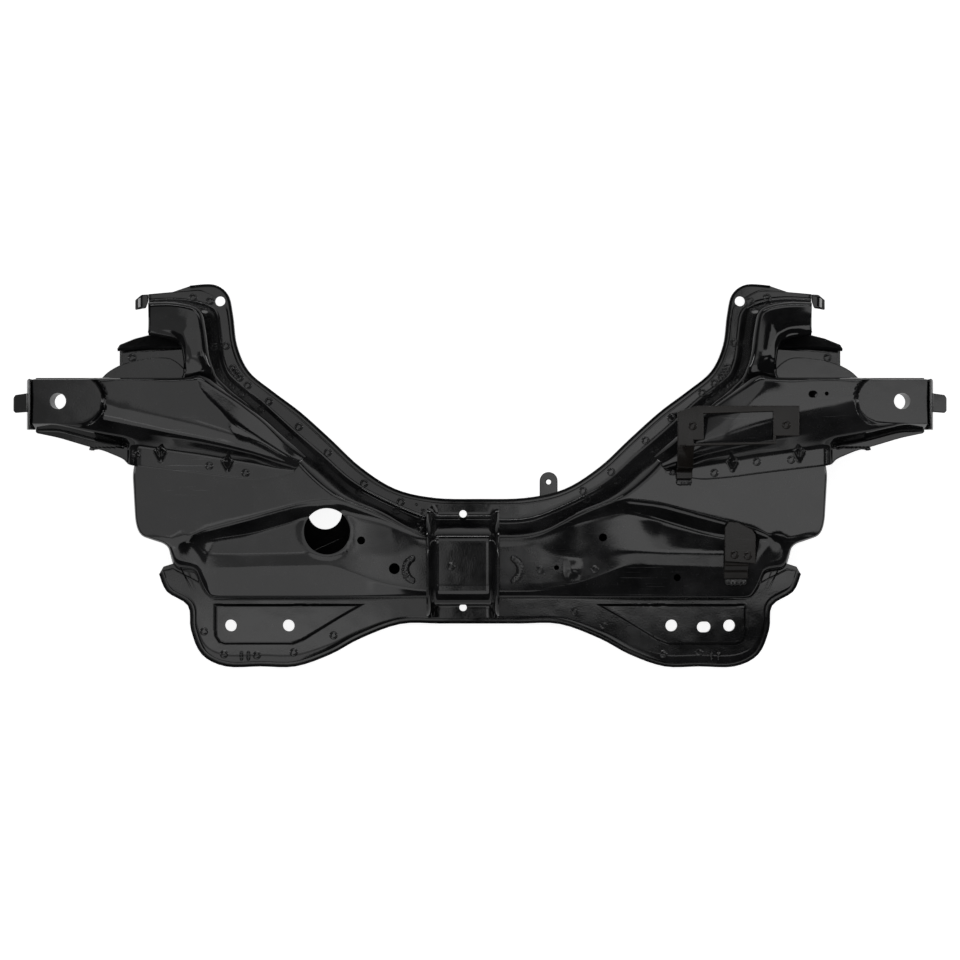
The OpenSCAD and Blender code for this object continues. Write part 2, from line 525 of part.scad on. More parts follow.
// Rim tab: a round-ended ear under the rim, right of the middle
tab_at = [69, -6];
tab_w = 18;
tab_hole_d = 5;
module rim_tab() color(steel) difference() {
    z = joint_z - sheet_t - seam - bracket_t;
    union() {
        translate([tab_at.x - tab_w / 2, tab_at.y - 26, z]) cube([tab_w, 26, bracket_t]);
        translate([tab_at.x, tab_at.y, z]) cylinder(h = bracket_t, d = tab_w);
    }
    hole([tab_at.x, tab_at.y - 1], tab_hole_d);
}
// A straight bead from p along X or Y
module straight_bead(p, run, turn) {
    translate(p) rotate([90, 0, turn]) linear_extrude(run, center = true) bead_section();
}
module bracket_weld_beads() color(weld) {
    beside_foot = bead_r + seam;
    straight_bead([stay_left - beside_foot, 2.5, on_face + seam], 6, 0);
    straight_bead([stay_left + stay_foot_w / 2, stay_foot_y - beside_foot, face_z + seam], stay_foot_w, 90);
    straight_bead([clip_x + clip_foot_w / 2, clip_foot_y - beside_foot, face_z - clip_bead_drop],
        clip_foot_w - 2, 90);
}

color(steel) left_side() arm();  // left_arm
color(steel) right_arm();
color(steel) left_side() arm_closing_plate();  // left_arm_closing_plate
color(steel) arm_closing_plate();  // right_arm_closing_plate
color(steel) left_side() end_cap();  // left_end_cap
color(steel) end_cap();  // right_end_cap
color(steel) left_side() bolt_sleeve();  // left_bolt_sleeve
color(steel) bolt_sleeve();  // right_bolt_sleeve
color(steel) left_side() pivot_plate();  // left_pivot_plate
color(steel) pivot_plate();  // right_pivot_plate
color(steel) left_side() pivot_stiffener();  // left_pivot_stiffener
color(steel) pivot_stiffener();  // right_pivot_stiffener
color(steel) left_side() seat_plate();  // left_seat_plate
color(steel) right_seat_plate();
saddle_bracket();
saddle_weld_beads();
stay_bracket();
clip_bracket();
rim_tab();
bracket_weld_beads();
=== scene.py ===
"""Front suspension crossmember of pressed, spot-welded and painted sheet, dressed over its CAD frame.

The pressings are grids of two parameters: a station along the beam and a place across its section.
"""
import json
import math

import bpy
import numpy as np
from bpy.props import FloatProperty, FloatVectorProperty, PointerProperty
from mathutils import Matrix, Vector
from mathutils.bvhtree import BVHTree

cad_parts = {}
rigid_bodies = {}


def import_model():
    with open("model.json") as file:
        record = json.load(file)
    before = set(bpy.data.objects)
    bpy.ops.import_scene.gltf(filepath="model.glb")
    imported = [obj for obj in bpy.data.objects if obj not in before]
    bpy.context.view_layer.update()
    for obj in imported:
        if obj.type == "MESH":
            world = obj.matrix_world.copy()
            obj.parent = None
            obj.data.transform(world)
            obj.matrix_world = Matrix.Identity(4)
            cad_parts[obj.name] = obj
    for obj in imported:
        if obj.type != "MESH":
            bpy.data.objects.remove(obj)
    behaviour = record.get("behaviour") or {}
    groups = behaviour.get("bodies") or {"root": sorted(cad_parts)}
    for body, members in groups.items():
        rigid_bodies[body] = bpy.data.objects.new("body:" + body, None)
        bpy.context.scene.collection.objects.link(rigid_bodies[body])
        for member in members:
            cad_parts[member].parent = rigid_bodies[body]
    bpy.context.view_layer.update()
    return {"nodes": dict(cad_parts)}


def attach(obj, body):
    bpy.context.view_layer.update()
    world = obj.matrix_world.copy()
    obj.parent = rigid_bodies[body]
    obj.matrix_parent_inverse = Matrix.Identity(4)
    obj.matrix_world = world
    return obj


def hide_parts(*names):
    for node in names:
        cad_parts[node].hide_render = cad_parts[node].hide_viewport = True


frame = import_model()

bl_info = {
    "name": "Pressed Crossmember",
    "version": (1, 0, 0),
    "blender": (4, 5, 0),
    "location": "View3D > Sidebar > Crossmember",
    "description": "Builds the pressed sheet surfaces, welds and finishes of a front crossmember",
    "category": "Object",
}

MM = 0.001
BODY = "root"

# Driving places of the pressings, in millimetres, as in the part's source
HX = 261.0
BX = 417.0
BOLT_Y = 73.0
SEAT_X = 221.0
BACK_Y = BOLT_Y + 23
JOINT_Z = 30.0
SHEET = 2.6
SEAM = 0.2
FLANGE_Z = JOINT_Z + SHEET
FACE_Z = JOINT_Z + 45
CREST_Z = FACE_Z + 16
HOOD_Z = FACE_Z + 23
PAD_Z = HOOD_Z - 14
CLOSE_Z = HOOD_Z - 50
ON_FACE = FACE_Z + SEAM + SHEET
ON_PLATE = CLOSE_Z + SEAM + SHEET
ARM_END = BX + 27
FOLD_Y = -122.0
SEAT_TOP = FOLD_Y - 4
EDGE_SET = SHEET + 2
DROP_X = BX - 69
SUNK_X = BX - 63
RAMP_X = BX - 44

# Front panel: plan curves and creased rails, keyed by station
RIM_EDGE = [
    (0, -24), (45, -23), (85, -14), (120, 8), (150, 36), (180, 63), (208, 84), (HX - 29, 104), (HX - 17, 130),
    (HX - 13, 160), (HX - 8, 181), (HX + 6, 191), (HX + 30, 190),
]
RIM_END = [(HX + 79, 181), (HX + 86, 176), (HX + 86, 166)]
LOW_EDGE = [
    (0, -149), (40, -149), (80, -149.5), (120, -164), (150, -180), (185, -192), (220, -192), (255, -192),
    (279, -180), (290, -155), (293, -131), (BX - 103, -117), (BX - 95, -99),
]
HAT_END = [
    (0, FOLD_Y), (BX - 148, FOLD_Y), (BX - 140, -112), (BX - 132, -94.5), (BX - 113, -92.5), (BX - 97, -96),
]
WALL_FOOT = [
    (0, -45), (50, -44.2), (98, -25), (130, -7), (158, 18), (184, 40), (206, 60), (219, 72), (228, 79),
    (235, 84), (HX - 20, 89), (HX - 14, 94), (HX - 9, 99), (HX - 5, 106), (HX - 1, 120), (HX + 2, 148),
    (HX + 8, 167), (HX + 39, 175), (HX + 73, 174),
]
WALL_TOP = [
    (0, -61), (55, -59.5), (99, -37), (137, -22), (166, 0), (190, 27), (212, 50), (225, 63), (233, 71),
    (241, 77), (HX - 13, 83), (HX - 7, 89), (HX - 1, 95), (HX + 3, 104), (HX + 8, 120), (HX + 12, 148),
    (HX + 18, 164), (HX + 42, 170), (HX + 68, 170),
]
WALL_TOP_Z = [
    (0, FACE_Z - 9), (1, FACE_Z - 7), (2, FACE_Z - 3), (3, FACE_Z), (12, FACE_Z), (13, CREST_Z - 4),
    (14, CREST_Z - 1), (16, CREST_Z - 1), (17, CREST_Z - 2), (18, CREST_Z - 5),
]
RIDGE_ONE = [
    (0, 0, -64, -8), (1, 55, -62, -6.5), (2, 99, -41, -2.5), (3, 142, -26, 0), (4, 176, -30, 0),
    (6, BX - 147, -55, 0), (8, BX - 130, -61, 0), (10, BX - 117, -52, 0), (11, BX - 92, -40, 0),
    (12, HX + 39, 55, 0), (12.5, HX + 25, 78.5, 0), (13, HX + 11, 102, 13), (14, HX + 19, 119, 16),
    (15, HX + 23, 140, 16), (16, HX + 26, 150, 16), (17, HX + 43, 155, 15), (18, HX + 68, 158, 13),
]
STEP_FOOT = [
    (0, 0, -66.5, -8.5), (1, 55, -65, -7), (2, 98, -45, -4.5), (3, 143, -35, -6.5), (4, 177, -44, -10.5),
    (5, 223, -58, -11), (6, BX - 148, -64.5, -7.5), (8, BX - 129, -64, -1), (10, BX - 113, -60, 0),
    (11, BX - 85, -48, 0), (12, BX - 95, 38, 0), (12.5, HX + 39.5, 70, 0), (13, HX + 18, 101.5, 13),
    (14, HX + 23, 117, 16), (15, HX + 27, 134, 16), (16, HX + 30, 144, 16), (17, HX + 43.5, 149, 15),
    (18, HX + 68, 152, 13),
]
RIDGE_TWO = [
    (0, 0, -70, -7.5), (1, 52, -71, -6.8), (2, 92, -81, -7), (3, 148, -76, -6.8), (5, 226, -76, -8.4),
    (6, BX - 146, -78, -7), (8, BX - 128, -67, -2.5), (9, BX - 117, -72, -2), (10, BX - 111, -63, 0),
    (11, BX - 81, -53, 0), (12, BX - 83, 26, 0), (12.5, HX + 48, 63.5, 0), (13, HX + 23, 101, 13),
    (14, HX + 26, 116, 15.5), (15, HX + 29, 131, 16), (16, HX + 32.5, 139, 16), (17, HX + 44, 144, 15),
    (18, HX + 68, 147, 13),
]
VALLEY = [
    (0, 0, -115, -7.8), (1, 60, -115, -7.3), (2, 98, -108, -7.5), (3, 146, -90, -7.9), (5, 224, -91, -9.3),
    (6, BX - 147, -94, -8.6), (7, BX - 141, -94, -8.5), (8, BX - 133, -88, -8), (9, BX - 115, -84, -6),
    (10, BX - 109, -66, -0.5), (11, BX - 79, -56, 0), (12, BX - 76, 19, 0), (12.5, HX + 53.5, 60, 0),
    (13, HX + 27, 100.5, 13), (14, HX + 28.5, 114.5, 15.5), (15, HX + 30.5, 128, 15.5),
    (16, HX + 34.5, 135, 15), (17, HX + 44.5, 140, 14), (18, HX + 68, 143, 13),
]
FREE_EDGE = [
    (0, 0, FOLD_Y, -12), (1, 55, FOLD_Y, -12), (2, 98, FOLD_Y, -12.5), (3, 146, FOLD_Y, -13),
    (4, 180, FOLD_Y, -13), (5, 225, FOLD_Y, -13), (6, BX - 149, FOLD_Y, -13), (7, BX - 142, -112, -13),
    (8, BX - 134, -94, -12.5), (9, BX - 114, -91, -11), (10, BX - 108, -68, -1), (11, BX - 77, -58, 0),
    (12, BX - 73, 14, 0), (12.5, HX + 56, 57, 0), (13, HX + 29, 100, 13), (14, HX + 30, 113, 15),
    (15, HX + 32, 126, 15), (16, HX + 36, 132, 14), (17, HX + 45, 136, 14), (18, HX + 68, 140, 12),
]
FOLD_DEPTH = FACE_Z - 12 - FLANGE_Z
EDGE_DEPTH = [
    (0, FOLD_DEPTH), (1, FOLD_DEPTH), (2, FOLD_DEPTH - 0.5), (3, FOLD_DEPTH - 1), (7, FOLD_DEPTH - 1),
    (8, FOLD_DEPTH - 0.5), (9, FOLD_DEPTH + 1), (10, 12), (12, 10), (13, 4), (18, 5),
]
EDGE_LEAN = [(0, 2), (5.5, 2), (6.5, 5), (9, 5), (10, 2)]
STATIONS = 18
PANEL_ROWS = 456

# Front panel's section: rounding at its foot and turned edge, its step and its valley, and parts per span
FOOT_BEND, STEP_BEND, VALLEY_BEND = 3.5, 3, 1.5
PANEL_SPANS = [5, 8, 14, 3, 9, 6, 8, 4]
# Ends of the rim flange past the towers: outlines by x from the tower, and where the tip turns down
TIP_TOP = [(72, 181.4), (79, 181), (86, 176)]
TIP_LOW = [(72, 174.5), (74.5, 167.5), (86, 166)]
TIP_BEND = (78, 86)
TIP_DROP = 5.0

# Holes through the front panel: x, y and diameter
SEAT_HOLE_Y, SEAT_HOLE, SEAT_PITCH = -151, 12, 29
BOLT_HOLE = 16
SADDLE_HOLES = [(-17, -39, 7.5), (-17, -133, 7.5)]
ACCESS = (-152, -56, 46)
PANEL_HOLES = [
    (-HX, 174.5, 10), (HX, 174.5, 10),
    *((side * (SEAT_X + k), SEAT_HOLE_Y, SEAT_HOLE) for side in (-1, 1) for k in (SEAT_PITCH, -SEAT_PITCH)),
    *SADDLE_HOLES, ACCESS, (-118, -65, 8), (-85, -93, 11), (122, -62, 8), (76, -92, 5), (196, -102, 7),
]
# Slots: x, y, width across and length along X
PANEL_SLOTS = [(224.5, -152.5, 11, 14)]
ARM_SLOTS = [(327.5, 79.5, 7, 9), (341, 80, 4, 4)]
# Collar round the access hole: height, distance from the edge and half width
COLLAR = (0.4, 2.2, 1.8)
# Square emboss: x, y, half width, height and softness of its sides
EMBOSS = (92, -93, 6, 1.0, 0.6)
# Height from which the panel is its face
FACE_FROM = JOINT_Z + 20

# Arm hood: rails keyed by station from the tail on the face to the arm's end
HOOD_EDGE = [
    (0, 171, 17), (1, 190, 34), (2, 215, 58), (3, 240, 77), (4, HX + 13, BACK_Y + 3), (5, HX + 30, BACK_Y),
    (6, DROP_X, BACK_Y), (7, SUNK_X, BACK_Y), (8, RAMP_X, BACK_Y), (9, BX - 20, BACK_Y), (10, BX + 3, BACK_Y),
    (11, ARM_END, BACK_Y),
]
HOOD_EDGE_Z = [
    (0, ON_FACE), (3, ON_FACE), (4, HOOD_Z - 4), (5, HOOD_Z - 10), (8, HOOD_Z - 10), (9, CLOSE_Z + SEAM),
    (11, CLOSE_Z + SEAM),
]
HOOD_BACK = [
    (0, 173, 15.5), (1, 191.5, 32), (2, 216.5, 56), (3, 241, 74.5), (4, HX + 14, BACK_Y),
    (5, HX + 30, BACK_Y - 2), (6, DROP_X, BACK_Y - 2), (8, RAMP_X, BACK_Y - 2), (9, BX - 20, BACK_Y - 2),
    (11, ARM_END, BACK_Y - 2),
]
HOOD_BACK_Z = [
    (0, ON_FACE + 2), (1, ON_FACE + 6), (2, HOOD_Z - 9.5), (3, HOOD_Z - 5), (4, HOOD_Z - 2), (5, HOOD_Z),
    (11, HOOD_Z),
]
HOOD_CREASE = [
    (0, 177, 11), (1, 192, 20), (2, 215, 34), (3, 246, 54), (4, HX + 15, BOLT_Y + 11),
    (5, HX + 39, BOLT_Y + 13), (8, RAMP_X, BOLT_Y + 13), (9, BX - 30, BOLT_Y + 12),
    (11, ARM_END, BOLT_Y + 12),
]
CREST_AT = [(0, ON_FACE + 4), (1, ON_FACE + 10), (2, HOOD_Z - 5), (3, HOOD_Z - 1), (4, HOOD_Z), (11, HOOD_Z)]
HOOD_RIDGE = [
    (0, 178.5, 8.5), (1, 197, 15), (2, 222, 29), (3, 246, 39), (4, HX + 15, 49), (5, HX + 39, 55),
    (6, DROP_X, 65), (7, SUNK_X, 66), (8, RAMP_X, BOLT_Y - 1), (9, BX - 38, BOLT_Y - 1),
    (11, ARM_END, BOLT_Y),
]
HOOD_GROOVE = [
    (0, 180, 7), (1, 198, 11.5), (2, 222, 20.5), (3, 246, 26.5), (4, HX + 15, 34), (5, HX + 39, 39),
    (6, DROP_X, 50), (7, SUNK_X, 51.5), (8, RAMP_X, BOLT_Y - 17), (9, BX - 37, BOLT_Y - 13),
    (10, BX + 3, BOLT_Y - 19), (11, ARM_END, BOLT_Y - 19),
]
HOOD_GROOVE_Z = [
    (0, ON_FACE + 3), (1, ON_FACE + 7), (2, ON_FACE + 12), (3, ON_FACE + 15), (4, ON_FACE + 16),
    (11, ON_FACE + 16),
]
HOOD_SHOULDER = [
    (0, 181, 6), (1, 199, 9), (2, 222, 16.5), (3, 246, 21), (4, HX + 15, 26), (5, HX + 39, 29),
    (6, DROP_X, 36.5), (7, SUNK_X, 37.5), (8, RAMP_X, BOLT_Y - 32), (9, BX - 27, BOLT_Y - 29),
    (10, BX + 3, BOLT_Y - 22.5), (11, ARM_END, BOLT_Y - 23),
]
HOOD_SHOULDER_Z = [(0, ON_FACE + 2), (2, ON_FACE + 5), (3, ON_FACE + 6), (8, ON_FACE + 6), (11, PAD_Z - 2)]
HOOD_FOOT = [
    (0, 182, 4.5), (1, 200, 6.5), (2, 222, 10.5), (3, 246, 14.5), (4, HX + 15, 19.5), (5, HX + 39, 23),
    (6, DROP_X, 29.5), (7, SUNK_X, 30), (8, RAMP_X, BOLT_Y - 40), (9, BX - 27, BOLT_Y - 36),
    (10, BX + 3, BOLT_Y - 28), (11, ARM_END, BOLT_Y - 28),
]
HOOD_FLANGE = [
    (0, 183, 2.5), (1, 196, -1), (2, 220, -5), (3, 246, -3), (4, HX + 15, 1), (5, HX + 39, 4),
    (6, DROP_X, 9.5), (7, SUNK_X, 16), (8, RAMP_X, BOLT_Y - 49), (9, BX - 27, BOLT_Y - 45),
    (10, BX + 3, BOLT_Y - 36), (11, ARM_END, BOLT_Y - 31),
]
HOOD_FOOT_Z = [(0, ON_FACE), (6, ON_FACE), (7, ON_PLATE), (11, ON_PLATE)]
ARM_STATIONS = 11
HOOD_ROWS = 190
HOOD_BENDS = [3, 4, 9, 5, 3, 2.5]
HOOD_SPANS = [2, 8, 10, 8, 5, 4, 7]
# Sunk pad round the body bolt: start of its straight sides, middle line, half width and ramp
PAD = (BX - 20.5, BOLT_Y + 1.5, 23.0, 5.5)
# Pressed darts in the bend of the hood's flange: places on the right arm, then run, half width and rise
DARTS = [(250.0, 14.5), (316.0, 24.5)]
DART_RUN, DART_HALF, DART_RISE = 11, 5.5, 7

# Seat plate: lower outline, skin, height of its rim, and the step's distance in, run and rise
SEAT_OUTLINE = [
    (SEAT_X - 117, SEAT_TOP - 0.5), (SEAT_X - 81, -147), (SEAT_X - 45, -169), (SEAT_X - 33, -173.5),
    (SEAT_X + 36, -173.5), (SEAT_X + 43, -171), (SEAT_X + 48, -164), (SEAT_X + 49, -156),
]
SEAT_SKIN = 1.0
SEAT_RIM_Z = FLANGE_Z + 1.25
SEAT_STEP = (3.2, 2.4, 2.75)

# Saddle: strap path in y and z with its rounding, height of its walls by share of the path, and the
# section across, as x and share of that height
SADDLE_SHEET = 3
SADDLE_FOOT = FLANGE_Z + SEAM + SADDLE_SHEET
SADDLE_WEB = FACE_Z - 1
SADDLE_PATH = [
    (-29.5, SADDLE_FOOT), (-41.8, SADDLE_FOOT), (-59.3, SADDLE_WEB), (-116, SADDLE_WEB - 2),
    (-129.4, SADDLE_WEB - 12), (-129.4, SADDLE_FOOT), (-143, SADDLE_FOOT),
]
SADDLE_BENDS = [4, 7, 7, 7, 4]
SADDLE_SPANS = [5, 12, 18, 6, 9, 5]
SADDLE_WALL = [
    (0, 0), (0.05, 1), (0.1, 10), (0.3, 12), (0.42, 16), (0.66, 16), (0.78, 12), (0.93, 11), (1, 5),
]
SADDLE_ACROSS = [
    (-53, 0.97), (-51.5, 1.0), (-48.5, 0.75), (-45, 0), (-20, 0), (11, 0), (14.5, 0.75), (17.5, 1.0),
    (19.0, 0.97),
]
SIDE_BENDS = [1.5, 2, 3, 10, 3, 2, 1.5]
SIDE_SPANS = [1, 3, 3, 8, 8, 3, 3, 1]

# Beads: half width, ripple, roughness and depth in the sheet, as shares of the radius
UP = np.array([0.0, 0.0, 1.0])
BEAD_WIDE, BEAD_RIPPLE, BEAD_ROUGH, BEAD_SINK = 1.5, 0.14, 0.07, 0.25
# C-shaped beads by the saddle: x, height and first angle, then middle, radius, sweep and rows
SADDLE_ARCS = [(-62, FACE_Z - 6.5, 100), (28, FACE_Z - 6.7, -80)]
ARC_Y, ARC_RADIUS, ARC_SWEEP, ARC_ROWS = -94, 12, 160, 70
# Feet of the stay and the clip that the short beads follow: left and lower edge
STAY_FOOT = (HX - 67, -4)
CLIP_FOOT = (BX - 174, -103)

# Spot welds on the flanges, hoods, face and towers, and on the brackets: x and y
PANEL_SPOTS = [
    (-277, -157), (-257, -180), (-224, -181), (-187, -178), (-147, -161), (95, -137), (124, -151),
    (184, -180), (220, -178), (-268, 9), (-340, 20), (274, 13), (308, 15), (-232, 2), (232, 2), (60, -94),
    (114, -94), (-29, -91), (-288, 178), (288, 178), (-347, 117), (347, 117),
]
BRACKET_SPOTS = [(209, 48), (301, 49), (252, -79), (265, -80)]
# Spot welds along the rim, as shares of its length
RIM_SHARES = np.r_[np.linspace(0.046, 0.44, 12), np.linspace(0.58, 0.954, 12)]
# Dish and ring of a spot weld: shares of the radius, and heights over a base
SPOT_ACROSS = np.array([0.02, 0.35, 0.62, 0.8, 0.92, 1.05, 1.2])
SPOT_LIFT = np.array([-0.35, -0.3, -0.05, 0.3, 0.34, 0.12, -0.25])
SPOT_BASE = 0.16
# Weld spatter beside the saddle: corners of its patch, count, radius, depth and seed
SPATTER_PATCH = (-64, -60), (-55, -24)
SPATTER_COUNT, SPATTER_RADIUS, SPATTER_DEPTH, SPATTER_SEED = 16, 1.3, 0.8, 31
# Paired drain marks in the bottom flange: x, the two ends in y, height and radius
DRAIN_MARKS = [-239.5, -232.5, 232.5, 239.5]
DRAIN_ENDS = (-176.5, -186.5)
DRAIN_Z, DRAIN_RADIUS = FLANGE_Z - 0.2, 1.2

# Turns in degrees past which a sheet's edge is rounded and an edge is shaded sharp
SHEET_TURN, SHARP_TURN = 60, 40
# Height from which places are sought on the pieces
RAY_TOP = 200.0

# Stage, in metres
FLOOR_Z, FLOOR_REACH = -0.0005, 30.0
EYE, LENS, SENSOR = (0, -0.005, 3.245), 120, 36
# Lamps: name, place, width and height, and brightness. An overhead one faces straight down, the others
# face the part
LAMPS = [
    ("overhead_left", (-0.4, 0.5, 3.0), (0.7, 2.0), 0.74),
    ("overhead_middle", (0.03, 0.8, 3.0), (0.16, 1.4), 0.8),
    ("overhead_far_left", (-1.1, 0.45, 3.0), (0.7, 2.1), 0.3),
    ("overhead_front", (-0.75, -1.41, 3.0), (1.4, 1.38), 0.95),
    ("overhead_back", (1.65, 1.8, 3.0), (3.1, 1.52), 1.0),
    ("overhead_gap", (-0.75, -0.61, 3.0), (1.4, 0.22), 0.4),
    ("overhead_seat", (-0.38, -0.3, 2.98), (0.42, 0.12), 0.6),
    ("overhead_right", (0.82, -0.015, 3.0), (1.56, 0.47), 1.2),
    ("overhead_tower", (0.6, 0.34, 3.0), (0.24, 0.24), 1.0),
    ("overhead_band", (0.47, -0.58, 3.0), (0.44, 0.15), 1.0),
    ("front_bank", (-0.6, -2.5, 2.6), (1.8, 1.2), 0.9),
    ("back_strip", (0.0, 3.4, 2.4), (3.4, 0.3), 7.0),
    ("left_strip", (-3.2, 0.3, 2.0), (0.3, 2.4), 5.0),
    ("right_strip", (3.2, 0.3, 2.0), (0.3, 2.4), 5.0),
]


# Geometry helpers

def track(keys, u):
    """Creased rail: each coordinate runs straight between the keys' stations."""
    table = np.asarray(keys, float)
    return np.stack([np.interp(u, table[:, 0], table[:, k]) for k in range(1, table.shape[1])], -1)


def smooth_path(points, u):
    """Smooth plan curve: the cubic through four neighbouring points, at u from 0 to 1 along them all."""
    p = np.asarray(points, float)
    last = len(p) - 1
    i = np.minimum((u * last).astype(int), last - 1)
    t = (u * last - i)[:, None]
    a, b, c, d = p[np.maximum(i - 1, 0)], p[i], p[i + 1], p[np.minimum(i + 2, last)]
    return (2 * b + (c - a) * t + (2 * a - 5 * b + 4 * c - d) * t ** 2
            + (3 * b - a - 3 * c + d) * t ** 3) / 2


def even_path(points, count):
    """The polyline through the points, cut at even steps of its own length."""
    p = np.asarray(points, float)
    run = np.concatenate([[0], np.cumsum(np.linalg.norm(np.diff(p, axis=0), axis=1))])
    at = np.linspace(0, run[-1], count)
    return np.stack([np.interp(at, run, p[:, k]) for k in range(p.shape[1])], -1)


def unit(rows):
    """Rows of vectors brought to length one."""
    return rows / np.linalg.norm(rows, axis=1, keepdims=True)


def beside(path, width):
    """The plan path moved sideways by width, to its left when width is positive."""
    ahead = unit(np.gradient(path, axis=0))
    return path + width * np.stack([-ahead[:, 1], ahead[:, 0]], -1)


def soften(rows, window):
    """Rounds the rails along the beam: each row becomes the mean of the rows in a window about it."""
    half = window // 2
    padded = np.concatenate([np.repeat(rows[:1], half, 0), rows, np.repeat(rows[-1:], half, 0)])
    total = np.concatenate([np.zeros_like(rows[:1]), np.cumsum(padded, 0)])
    return (total[2 * half + 1:] - total[:-2 * half - 1]) / (2 * half + 1)


def even_rows(rows, count):
    """Rows taken again at even steps of the longest of their rails."""
    step = np.linalg.norm(np.diff(rows, axis=0), axis=2).max(1)
    run = np.concatenate([[0], np.cumsum(step)])
    at = np.linspace(0, run[-1], count)
    flat = rows.reshape(len(rows), -1)
    k = np.clip(np.searchsorted(run, at, side="right") - 1, 0, len(rows) - 2)
    t = ((at - run[k]) / np.maximum(run[k + 1] - run[k], 1e-9))[:, None]
    return (flat[k] * (1 - t) + flat[k + 1] * t).reshape(count, *rows.shape[1:])


def mirrored(rows):
    """The rows of the other side, in reverse so that they still face up."""
    return (rows * [-1, 1, 1])[::-1]


def creased(rows, radii, spans, arc=5):
    """Sections with rounded creases: corner j gives way to the quadratic curve from radius before it to
    radius after it, and each straight span between two corners is cut into its own number of parts."""
    corner = rows[:, 1:-1]
    back = rows[:, :-2] - corner
    ahead = rows[:, 2:] - corner
    back_run = np.linalg.norm(back, axis=2, keepdims=True)
    ahead_run = np.linalg.norm(ahead, axis=2, keepdims=True)
    reach = np.asarray(radii, float)[None, :, None]
    start = corner + back / np.maximum(back_run, 1e-6) * np.minimum(reach, 0.45 * back_run)
    end = corner + ahead / np.maximum(ahead_run, 1e-6) * np.minimum(reach, 0.45 * ahead_run)
    t = np.linspace(0, 1, arc)[None, None, :, None]
    bend = (1 - t) ** 2 * start[:, :, None] + 2 * t * (1 - t) * corner[:, :, None] + t ** 2 * end[:, :, None]
    first = np.concatenate([rows[:, :1], end], 1)
    final = np.concatenate([start, rows[:, -1:]], 1)
    parts = [rows[:, :1]]
    for j, count in enumerate(spans):
        s = (np.arange(1, count) / count)[None, :, None]
        parts.append(first[:, j:j + 1] * (1 - s) + final[:, j:j + 1] * s)
        parts.append(bend[:, j] if j < bend.shape[1] else rows[:, -1:])
    return np.concatenate(parts, 1)


def make_piece(name, surfaces, material, replaced=(), closed=False):
    """One object from grids of points in millimetres, facing up when rows run to +X and columns to -Y. A
    closed grid joins its last column to its first."""
    quads, start = [], 0
    for grid in surfaces:
        k = np.arange(grid.shape[0] * grid.shape[1]).reshape(grid.shape[:2]) + start
        for near, far in [(k[:, :-1], k[:, 1:])] + [(k[:, -1:], k[:, :1])] * closed:
            quads.append(np.stack([near[:-1], far[:-1], far[1:], near[1:]], -1).reshape(-1, 4))
        start += k.size
    points = np.concatenate([grid.reshape(-1, 3) for grid in surfaces])
    mesh = bpy.data.meshes.new(name)
    mesh.from_pydata((points * MM).tolist(), [], np.concatenate(quads).tolist())
    mesh.update()
    obj = bpy.data.objects.new(name, mesh)
    bpy.context.scene.collection.objects.link(obj)
    mesh.materials.append(material)
    mesh.shade_smooth()
    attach(obj, BODY)
    if replaced:
        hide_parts(*replaced)
    return obj


def settle(obj):
    """Bakes the object's modifiers into its mesh and keeps its edges sharp past an angle."""
    graph = bpy.context.evaluated_depsgraph_get()
    done = bpy.data.meshes.new_from_object(obj.evaluated_get(graph))
    old = obj.data
    name = old.name
    obj.modifiers.clear()
    obj.data = done
    bpy.data.meshes.remove(old)
    done.name = name
    done.shade_smooth()
    done.set_sharp_from_angle(angle=math.radians(SHARP_TURN))


def round_edges(obj, width, angle, segments, clamp):
    """Rounds the edges that turn by more than the angle. Clamp keeps acute corners from overshooting."""
    bevel = obj.modifiers.new("Edges", "BEVEL")
    bevel.width = width * MM
    bevel.segments = segments
    bevel.limit_method = "ANGLE"
    bevel.angle_limit = math.radians(angle)
    bevel.use_clamp_overlap = clamp


def tidy_cad(obj, width, clamp):
    """Joins the facets of a CAD solid into flat faces, rounds its edges and shades the flats evenly."""
    weld = obj.modifiers.new("Merge", "WELD")
    weld.merge_threshold = 0.02 * MM
    flat = obj.modifiers.new("Flats", "DECIMATE")
    flat.decimate_type = "DISSOLVE"
    flat.angle_limit = math.radians(1)
    round_edges(obj, width, 30, 3, clamp)
    even = obj.modifiers.new("Shading", "WEIGHTED_NORMAL")
    even.weight = 100


def stadium(x, y, across, along, count=28):
    """Outline of a round-ended slot: two half circles joined by straight sides."""
    turn = np.linspace(0, 2 * np.pi, count, endpoint=False) + np.pi / count
    reach = (along - across) / 2
    return np.stack([x + across / 2 * np.cos(turn) + reach * np.sign(np.cos(turn)),
                     y + across / 2 * np.sin(turn)], -1)


def cut(obj, holes, low, high, crossing):
    """Cuts straight holes, given as for stadium, through a piece between two heights. Crossing allows for a
    sheet whose inner bends cross themselves."""
    points, faces, start = [], [], 0
    for hole in holes:
        outline = stadium(*hole)
        n = len(outline)
        points += [np.column_stack([outline, np.full(n, z)]) for z in (low, high)]
        ring = np.arange(n)
        side = np.stack([ring, np.roll(ring, -1), np.roll(ring, -1) + n, ring + n], -1) + start
        faces += side.tolist() + [(ring[::-1] + start).tolist(), (ring + n + start).tolist()]
        start += 2 * n
    mesh = bpy.data.meshes.new("cutter")
    mesh.from_pydata((np.concatenate(points) * MM).tolist(), [], faces)
    tool = bpy.data.objects.new("cutter", mesh)
    bpy.context.scene.collection.objects.link(tool)
    without = obj.modifiers.new("Holes", "BOOLEAN")
    without.operation = "DIFFERENCE"
    without.solver = "EXACT"
    without.use_self = crossing
    without.object = tool
    settle(obj)
    bpy.data.objects.remove(tool)
    bpy.data.meshes.remove(mesh)


